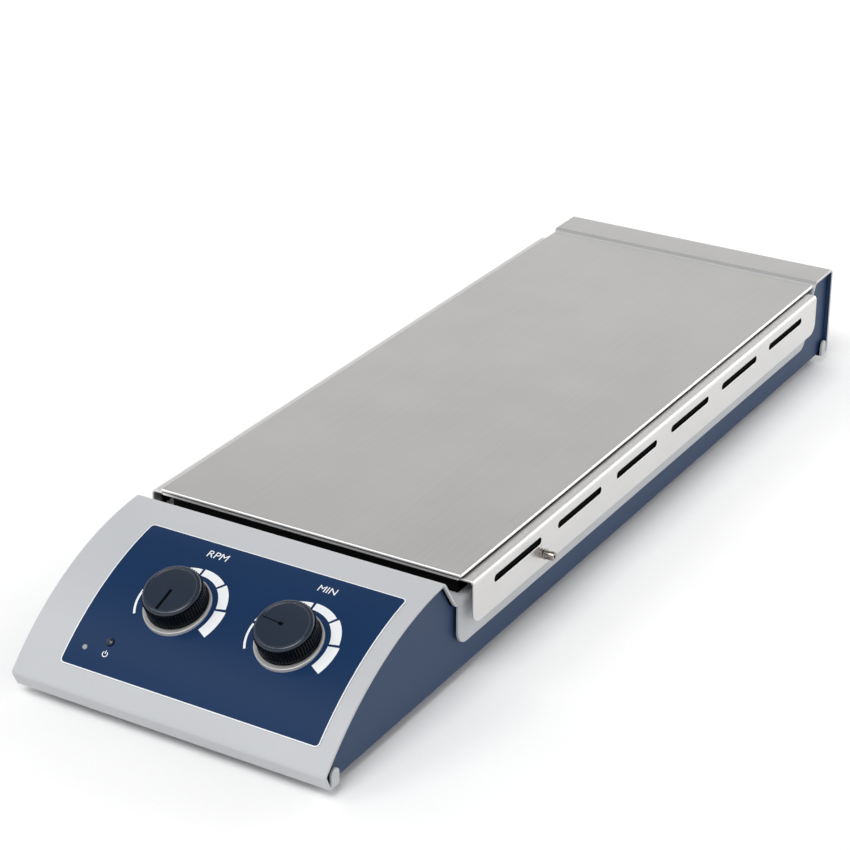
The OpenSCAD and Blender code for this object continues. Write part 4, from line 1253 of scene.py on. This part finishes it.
@dataclass
class RailStuds:
    """The turned stud on each rail: a collar, a ring and a barrel with a drilled end.

    Lengths are in mm, and heights are measured outwards from the rail's face.
    """

    rail_half: float = 96.0
    sunk: float = 5.6
    foot_edge: float = 0.3
    collar_r: float = 2.6
    collar_end: float = 1.5
    collar_edge: Pair = (0.2, 0.25)
    groove_r: float = 1.6
    groove: Pair = (1.8, 2.35)
    ring_r: float = 2.9
    ring: Pair = (2.4, 3.15)
    ring_edge: float = 0.15
    barrel_r: float = 2.35
    barrel_foot: float = 3.2
    reach: float = 8.0
    end_round: float = 0.45
    end_middle: float = 0.13
    drill_r: float = 0.85
    drill_edge: float = 0.1
    drill_depth: float = 1.6
    steps: int = 48
    shade_clear: float = 0.02
    shade_end: float = 3.0
    sharp: float = 35.0

    def profile(self) -> Line:
        """Gives the stud's turned outline, from its foot in the rail to the drilled hole's floor.

        Returns:
            Radius and height along the outline.
        """
        foot, end, edge = -self.sunk, self.reach, self.ring_edge
        collar, ring, barrel, drill = self.collar_r, self.ring_r, self.barrel_r, self.drill_r
        return [
            (0.0, foot), (collar - self.foot_edge, foot), (collar, foot + self.foot_edge),
            (collar, self.collar_end),
            (collar - self.collar_edge[0], self.collar_end + self.collar_edge[1]),
            (self.groove_r, self.groove[0]), (self.groove_r, self.groove[1]),
            (ring - edge, self.ring[0]), (ring, self.ring[0] + edge),
            (ring, self.ring[1] - edge), (ring - edge, self.ring[1]),
            (barrel, self.barrel_foot), (barrel, end - self.end_round),
            (barrel - self.end_middle, end - self.end_middle), (barrel - self.end_round, end),
            (drill + self.drill_edge, end), (drill, end - self.drill_edge),
            (drill, end - self.drill_depth), (0.0, end - self.drill_depth),
        ]

    def build(self, finishes: Finishes) -> None:
        """Turns both studs, paints shade in grooves and drilled ends, and hands them in as one.

        Args:
            finishes: Where the plating and the painted shade come from.
        """
        low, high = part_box("rail_studs")
        middle = (low + high) / 2
        work = bmesh.new()
        seats: list[Matrix] = []
        for side in (-1, 1):
            turn = Matrix.Rotation(math.radians(90 * side), 4, "Y")
            spot = Matrix.Translation(Vector((side * self.rail_half * MM, middle.y, middle.z)))
            seats.append(spot @ turn @ Matrix.Scale(MM, 4))
            lathe(work, self.profile(), self.steps, seats[-1])
        close_up(work)
        piece = set_down(work, "turned_studs")
        backs = [seat.inverted() for seat in seats]

        def pick(face: bpy.types.MeshPolygon) -> StudFace:
            """Chooses a face's finish by its place on the stud.

            Args:
                face: The face.

            Returns:
                The part of the stud that it belongs to.
            """
            place = backs[0 if face.center.x < 0 else 1] @ face.center
            away = place.xy.length - self.shade_clear
            in_groove = away < self.groove_r and place.z < self.shade_end
            return StudFace.SHADE if away < self.drill_r or in_groove else StudFace.BRIGHT

        share_out(piece.data, (finishes.nickel, finishes.painted_shade_black), pick)
        smooth_by_angle(piece.data, self.sharp)
        hand_in(piece, Body.CASING, Slot.ZINC_STEEL, finishes.nickel, "rail_studs")


@dataclass
class PaintedShadowStrips:
    """Black strips as painted shadow: behind each rail's slots, and in its slit below the plate.

    Each strip is given by its inner and outer distance from the middle, and by its lower and upper
    height, in mm.
    """

    slot_shade: tuple[Pair, Pair] = ((94.2, 94.82), (46.3, 53.2))
    slit_shade: tuple[Pair, Pair] = ((86.8, 89.15), (57.58, 58.55))
    end_in: float = 7.0
    slit_shade_front_in: float = 1.0
    edge: float = 0.12

    def strip(
        self, work: bmesh.types.BMesh, across: Pair, height: Pair, front: float, rear: float
    ) -> None:
        """Adds a strip on both sides.

        Args:
            work: The mesh that gets the strips.
            across: Inner and outer distance from the middle, in mm.
            height: Lower and upper height, in mm.
            front: Front end in metres.
            rear: Rear end in metres.
        """
        for side in (-1, 1):
            for vertex in bmesh.ops.create_cube(work, size=1.0)["verts"]:
                vertex.co = Vector((
                    side * across[vertex.co.x > 0] * MM, rear if vertex.co.y > 0 else front,
                    height[vertex.co.z > 0] * MM))

    def build(self, finishes: Finishes) -> None:
        """Lays all four strips as one piece.

        Args:
            finishes: Where the black comes from.
        """
        front, rear = (corner.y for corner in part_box("right_rail"))
        end = rear - self.end_in * MM
        work = bmesh.new()
        self.strip(work, *self.slot_shade, front + self.end_in * MM, end)
        self.strip(work, *self.slit_shade, front + self.slit_shade_front_in * MM, end)
        close_up(work)
        bmesh.ops.bevel(
            work, geom=work.edges[:], offset=self.edge * MM, segments=EDGE_STEPS, affect="EDGES")
        hand_in(set_down(work, "felt_strips"), Body.CASING, Slot.BLACK_PLASTIC,
                finishes.painted_shade_black)


class CoverFace(IntEnum):
    """The parts of the cover that have a finish of their own."""

    PAINT = 0
    INSIDE_SHADE = 1
    REAR_STRIP = 2
    REAR_RETURN = 3
    STRIP_BEND = 4


class RailFace(IntEnum):
    """The parts of a rail that have a finish of their own."""

    STEEL = 0
    SLOT_WALL = 1


class PlateFace(IntEnum):
    """The parts of the plate that have a finish of their own."""

    BRUSHED = 0
    EDGE = 1


@dataclass
class Casing:
    """The sheet pieces and fittings that keep their solids' shapes, with their edges broken.

    Lengths are in mm. A tilt is the part of a face's normal along an axis. The cover's spine is a
    line inside it, and a face that looks towards the spine is an inside one.
    """

    cover_edge: float = 0.3
    cover_jog: float = 0.2
    wrap_half: float = 89.0
    wrap_clear: float = 0.05
    pan_half: float = 87.6
    spine_in: float = 30.0
    spine_up: float = 20.0
    inside_tilt: float = 0.12
    strip_over: float = 12.0
    strip_deep: float = 6.0
    strip_tilt: float = 0.25
    bend_tilt: float = -0.1
    return_thick: float = 2.0
    rail_edge: float = 0.4
    rail_flat_limit: float = 1.0
    slot_heights: Pair = (47.1, 51.9)
    slot_out: float = 94.7
    slot_ends_in: float = 10.0
    slot_tilt: float = 0.6
    plate_edge: float = 0.3
    plate_top_round: float = 0.9
    plate_edge_tilts: Pair = (-0.2, 0.97)
    support_edge: float = 0.4
    film_edge: float = 0.08
    lens_edge: float = 0.1
    button_edge: float = 0.12
    inlet_edge: float = 0.3
    foot_edge: float = 0.5

    def cover(self, finishes: Finishes) -> None:
        """Softens the cover and gives it its finishes.

        The outside and the cut edges are painted, and the paint wraps a little way round them. The
        inside is painted black as shade, the strip behind the plate is bare steel with its front
        bend a darker grey as painted shade, and the navy of the pan runs on over the rear wall's
        return.

        Args:
            finishes: Where the finishes come from.
        """
        piece = softened("top_cover", self.cover_edge, jog_mm=self.cover_jog,
                         paint_lines=(self.wrap_half, self.pan_half))
        low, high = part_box("top_cover")
        spine_z = low.z + self.spine_up * MM
        spine_front, spine_rear = low.y + self.spine_in * MM, high.y - self.spine_in * MM
        strip_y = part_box("top_plate")[1].y - self.strip_over * MM
        strip_z = high.z - self.strip_deep * MM
        return_y = high.y - self.return_thick * MM

        def pick(face: bpy.types.MeshPolygon) -> CoverFace:
            """Chooses a face's finish by its place and the way it looks.

            Args:
                face: The face.

            Returns:
                The part of the cover that it belongs to.
            """
            place, way = face.center, face.normal
            across = abs(place.x) / MM
            spine = Vector((0, min(max(place.y, spine_front), spine_rear), spine_z))
            if place.y > strip_y and place.z > strip_z and way.z > self.strip_tilt:
                return CoverFace.REAR_STRIP if way.y > self.bend_tilt else CoverFace.STRIP_BEND
            if way.dot((spine - place).normalized()) <= self.inside_tilt:
                return CoverFace.PAINT
            if place.y > return_y and across > self.pan_half:
                return CoverFace.REAR_RETURN
            wrapped = across > self.wrap_half + self.wrap_clear
            return CoverFace.PAINT if wrapped else CoverFace.INSIDE_SHADE

        share_out(piece.data, (
            finishes.grey_powder, finishes.painted_shade_black, finishes.plate_steel,
            finishes.navy_powder, finishes.bend_steel), pick)
        hand_in(piece, Body.CASING, Slot.GREY_PAINT, finishes.grey_powder, "top_cover")

    def rail(self, node: str, finishes: Finishes) -> None:
        """Softens a rail, and paints its slots' walls black as shade.

        Args:
            node: The rail's node.
            finishes: Where the two finishes come from.
        """
        piece = softened(node, self.rail_edge, flat_limit=self.rail_flat_limit)
        front, rear = (corner.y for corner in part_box("right_rail"))
        front, rear = front + self.slot_ends_in * MM, rear - self.slot_ends_in * MM
        low, high = (height * MM for height in self.slot_heights)

        def pick(face: bpy.types.MeshPolygon) -> RailFace:
            """Chooses a face's finish by its place and the way it looks.

            Args:
                face: The face.

            Returns:
                The part of the rail that it belongs to.
            """
            place = face.center
            in_slot = low < place.z < high and abs(place.x) > self.slot_out * MM
            in_wall = front < place.y < rear and abs(face.normal.x) < self.slot_tilt
            return RailFace.SLOT_WALL if in_slot and in_wall else RailFace.STEEL

        share_out(piece.data, (finishes.rail_steel, finishes.painted_shade_black), pick)
        hand_in(piece, Body.CASING, Slot.RAIL_STEEL, finishes.rail_steel, node)

    def plate(self, finishes: Finishes) -> None:
        """Softens the plate, and paints a highlight on its bends and cut edges.

        Args:
            finishes: Where the two finishes come from.
        """
        piece = softened("top_plate", self.plate_edge, top_mm=self.plate_top_round)
        low, high = self.plate_edge_tilts
        share_out(
            piece.data, (finishes.plate_steel, finishes.edge_steel),
            lambda face: PlateFace.EDGE if low < face.normal.z < high else PlateFace.BRUSHED)
        hand_in(piece, Body.CASING, Slot.BRUSHED_PLATE, finishes.plate_steel, "top_plate")

    def build(self, finishes: Finishes) -> None:
        """Softens each seen piece and gives the hidden solids their finishes.

        Args:
            finishes: Where the finishes come from.
        """
        self.cover(finishes)
        for node in ("left_rail", "right_rail"):
            self.rail(node, finishes)
        self.plate(finishes)
        black, nylon = Slot.BLACK_PLASTIC, finishes.black_nylon
        for node, edge, body, slot, material in (
            ("plate_supports", self.support_edge, Body.CASING, black, nylon),
            ("panel_overlay", self.film_edge, Body.CASING, Slot.PRINTED_FILM, finishes.navy_film),
            ("lamp_lens", self.lens_edge, Body.CASING, Slot.LAMP_PLASTIC, finishes.lens_acrylic),
            ("inlet_socket", self.inlet_edge, Body.CASING, black, nylon),
            ("feet", self.foot_edge, Body.CASING, Slot.FOOT_RUBBER, finishes.black_rubber),
            ("power_button", self.button_edge, Body.POWER_KEY, black, finishes.knob_abs),
        ):
            hand_in(softened(node, edge), body, slot, material, node)
        for material, nodes in finishes.on_solids():
            for node in nodes:
                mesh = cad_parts[node].data
                mesh.materials.clear()
                mesh.materials.append(material)


@dataclass(frozen=True)
class StripLight:
    """A soft box some way off, for the bright line along a bend or an edge, in metres and watts."""

    name: str
    way: Triple
    wide: float
    high: float
    power: float
    away: float = 2.2

    def hang(self) -> None:
        """Hangs the light, facing the object."""
        way = Vector(self.way)
        lamp = bpy.data.lights.new(self.name, "AREA")
        lamp.shape = "RECTANGLE"
        lamp.size, lamp.size_y = self.wide, self.high
        lamp.energy = self.power
        made = new_object(self.name, lamp)
        made.location = way.normalized() * self.away
        made.rotation_euler = way.to_track_quat("Z", "Y").to_euler()


@dataclass
class Studio:
    """A white room: a pale surround, one far key light, two strip lights, a floor and the camera.

    Angles of the camera are in radians, and lengths in metres.
    """

    azimuth: float = 0.5413
    elevation: float = 0.4454
    focal_pixels: float = 2510.954
    place: Triple = (0.61963, -1.083715, 0.64518)
    sensor_mm: float = 36.0
    nearest: float = 0.05
    low_sky: float = 1.0
    high_sky: float = 0.3
    fall_heights: Pair = (0.45, 0.7)
    front_dim: float = 0.77
    back_lift: float = 1.16
    depth_ways: Pair = (-0.7, 0.7)
    key_from: Triple = (0.04, -0.5, 0.85)
    key_power: float = 1.75
    key_degrees: float = 35.0
    strips: tuple[StripLight, ...] = (
        StripLight("lip_light", (-0.465, -0.43, 0.774), wide=0.9, high=0.35, power=6.0),
        StripLight("bend_light", (0.43, 0.77, 0.464), wide=1.6, high=0.4, power=8.0))
    floor_half: float = 4.0
    floor_squares: int = 8

    def camera(self) -> None:
        """Sets the camera where the photograph's was."""
        a, e = self.azimuth, self.elevation
        right = Vector((math.cos(a), math.sin(a), 0))
        up = Vector((-math.sin(a) * math.sin(e), math.cos(a) * math.sin(e), math.cos(e)))
        back = Vector((math.sin(a) * math.cos(e), -math.cos(a) * math.cos(e), math.sin(e)))
        lens = bpy.data.cameras.new("camera")
        lens.sensor_width = self.sensor_mm
        lens.lens = self.focal_pixels * self.sensor_mm / PHOTO_PIXELS
        lens.clip_start = self.nearest
        made = new_object("camera", lens)
        made.matrix_world = (
            Matrix.Translation(Vector(self.place))
            @ Matrix((right, up, back)).transposed().to_4x4())
        bpy.context.scene.camera = made

    def key_light(self) -> None:
        """Hangs one far, wide light, so that the whole floor gets the same soft light."""
        lamp = bpy.data.lights.new("key_light", "SUN")
        lamp.energy = self.key_power
        lamp.angle = math.radians(self.key_degrees)
        made = new_object("key_light", lamp)
        made.rotation_euler = Vector(self.key_from).to_track_quat("Z", "Y").to_euler()

    def sky(self) -> None:
        """Makes the surround: white round the horizon, brightest behind, and dimmer overhead."""
        world = bpy.data.worlds.new("white_room")
        world.use_nodes = True
        tree = world.node_tree
        way = add_node(tree, "ShaderNodeTexCoord").outputs["Generated"]
        parts = add_node(tree, "ShaderNodeSeparateXYZ", {"Vector": way}).outputs
        fall, depth = (
            add_node(tree, "ShaderNodeMapRange", {
                "Value": parts[axis], "From Min": start, "From Max": end,
                "To Min": first, "To Max": last,
            }, interpolation_type="SMOOTHSTEP").outputs["Result"]
            for axis, (start, end), first, last in (
                ("Z", self.fall_heights, self.low_sky, self.high_sky),
                ("Y", self.depth_ways, self.front_dim, self.back_lift)))
        both = add_node(tree, "ShaderNodeMath", {0: fall, 1: depth}, operation="MULTIPLY")
        shade = tree.nodes["Background"]
        shade.inputs["Color"].default_value = (1.0, 1.0, 1.0, 1.0)
        tree.links.new(both.outputs[0], shade.inputs["Strength"])
        bpy.context.scene.world = world

    def floor(self) -> None:
        """Lays the pale floor under the feet."""
        work = bmesh.new()
        bmesh.ops.create_grid(
            work, x_segments=self.floor_squares, y_segments=self.floor_squares,
            size=self.floor_half)
        made = set_down(work, "floor")
        # White card: very faintly uneven, and matt
        made.data.materials.append(MottledFinish(
            name="studio_card_white", colours=("#F6F6F6", "#F9F9F9"), roughness=(0.8, 0.02),
            grain_mm=3.0, relief_mm=0.001).material())

    def build(self) -> None:
        """Sets up the room."""
        bpy.context.scene.view_settings.view_transform = "Standard"
        self.sky()
        self.key_light()
        for strip in self.strips:
            strip.hang()
        self.floor()
        self.camera()


def main() -> None:
    """Builds the stirrer's looks round the CAD frame, then the room."""
    logging.basicConfig(level=logging.INFO, format="%(message)s")
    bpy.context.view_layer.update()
    finishes = Finishes()
    panel = Panel()
    knob_places = (SPEED_PLACE, TIME_PLACE)
    speed_seat, time_seat = (panel.seat(*place) for place in knob_places)
    disc_seats = tuple(
        panel.seat(across + DISC_SHIFT[0], down + DISC_SHIFT[1]) for across, down in knob_places)
    Casing().build(finishes)
    PaintedShadowStrips().build(finishes)
    RailStuds().build(finishes)
    FilmPrint(panel, knob_places).build(finishes)
    Bezels(disc_seats).build(finishes)
    heads = CrossHeads()
    for screws in (
        ScrewSet("cover_screws", Facing.REAR, head_r=2.8, dome=1.9, sits=1.9, recess=1.3),
        ScrewSet("inlet_screws", Facing.REAR, head_r=3.0, dome=0.5, sits=0.15, recess=0.7),
        ScrewSet("foot_screws", Facing.UNDER, head_r=3.6, dome=1.9, sits=1.9, recess=1.3),
    ):
        screws.build(finishes, heads)
    ribs = GripRibs()
    for knob in (
        Knob("speed_knob", Body.SPEED_DIAL, speed_seat, turn=175.0, pointer=Pointer.SLOT),
        Knob("time_knob", Body.TIME_DIAL, time_seat, turn=84.0, pointer=Pointer.LINE),
    ):
        knob.build(finishes, ribs)
    Studio().build()


if __name__ == "__main__":
    main()
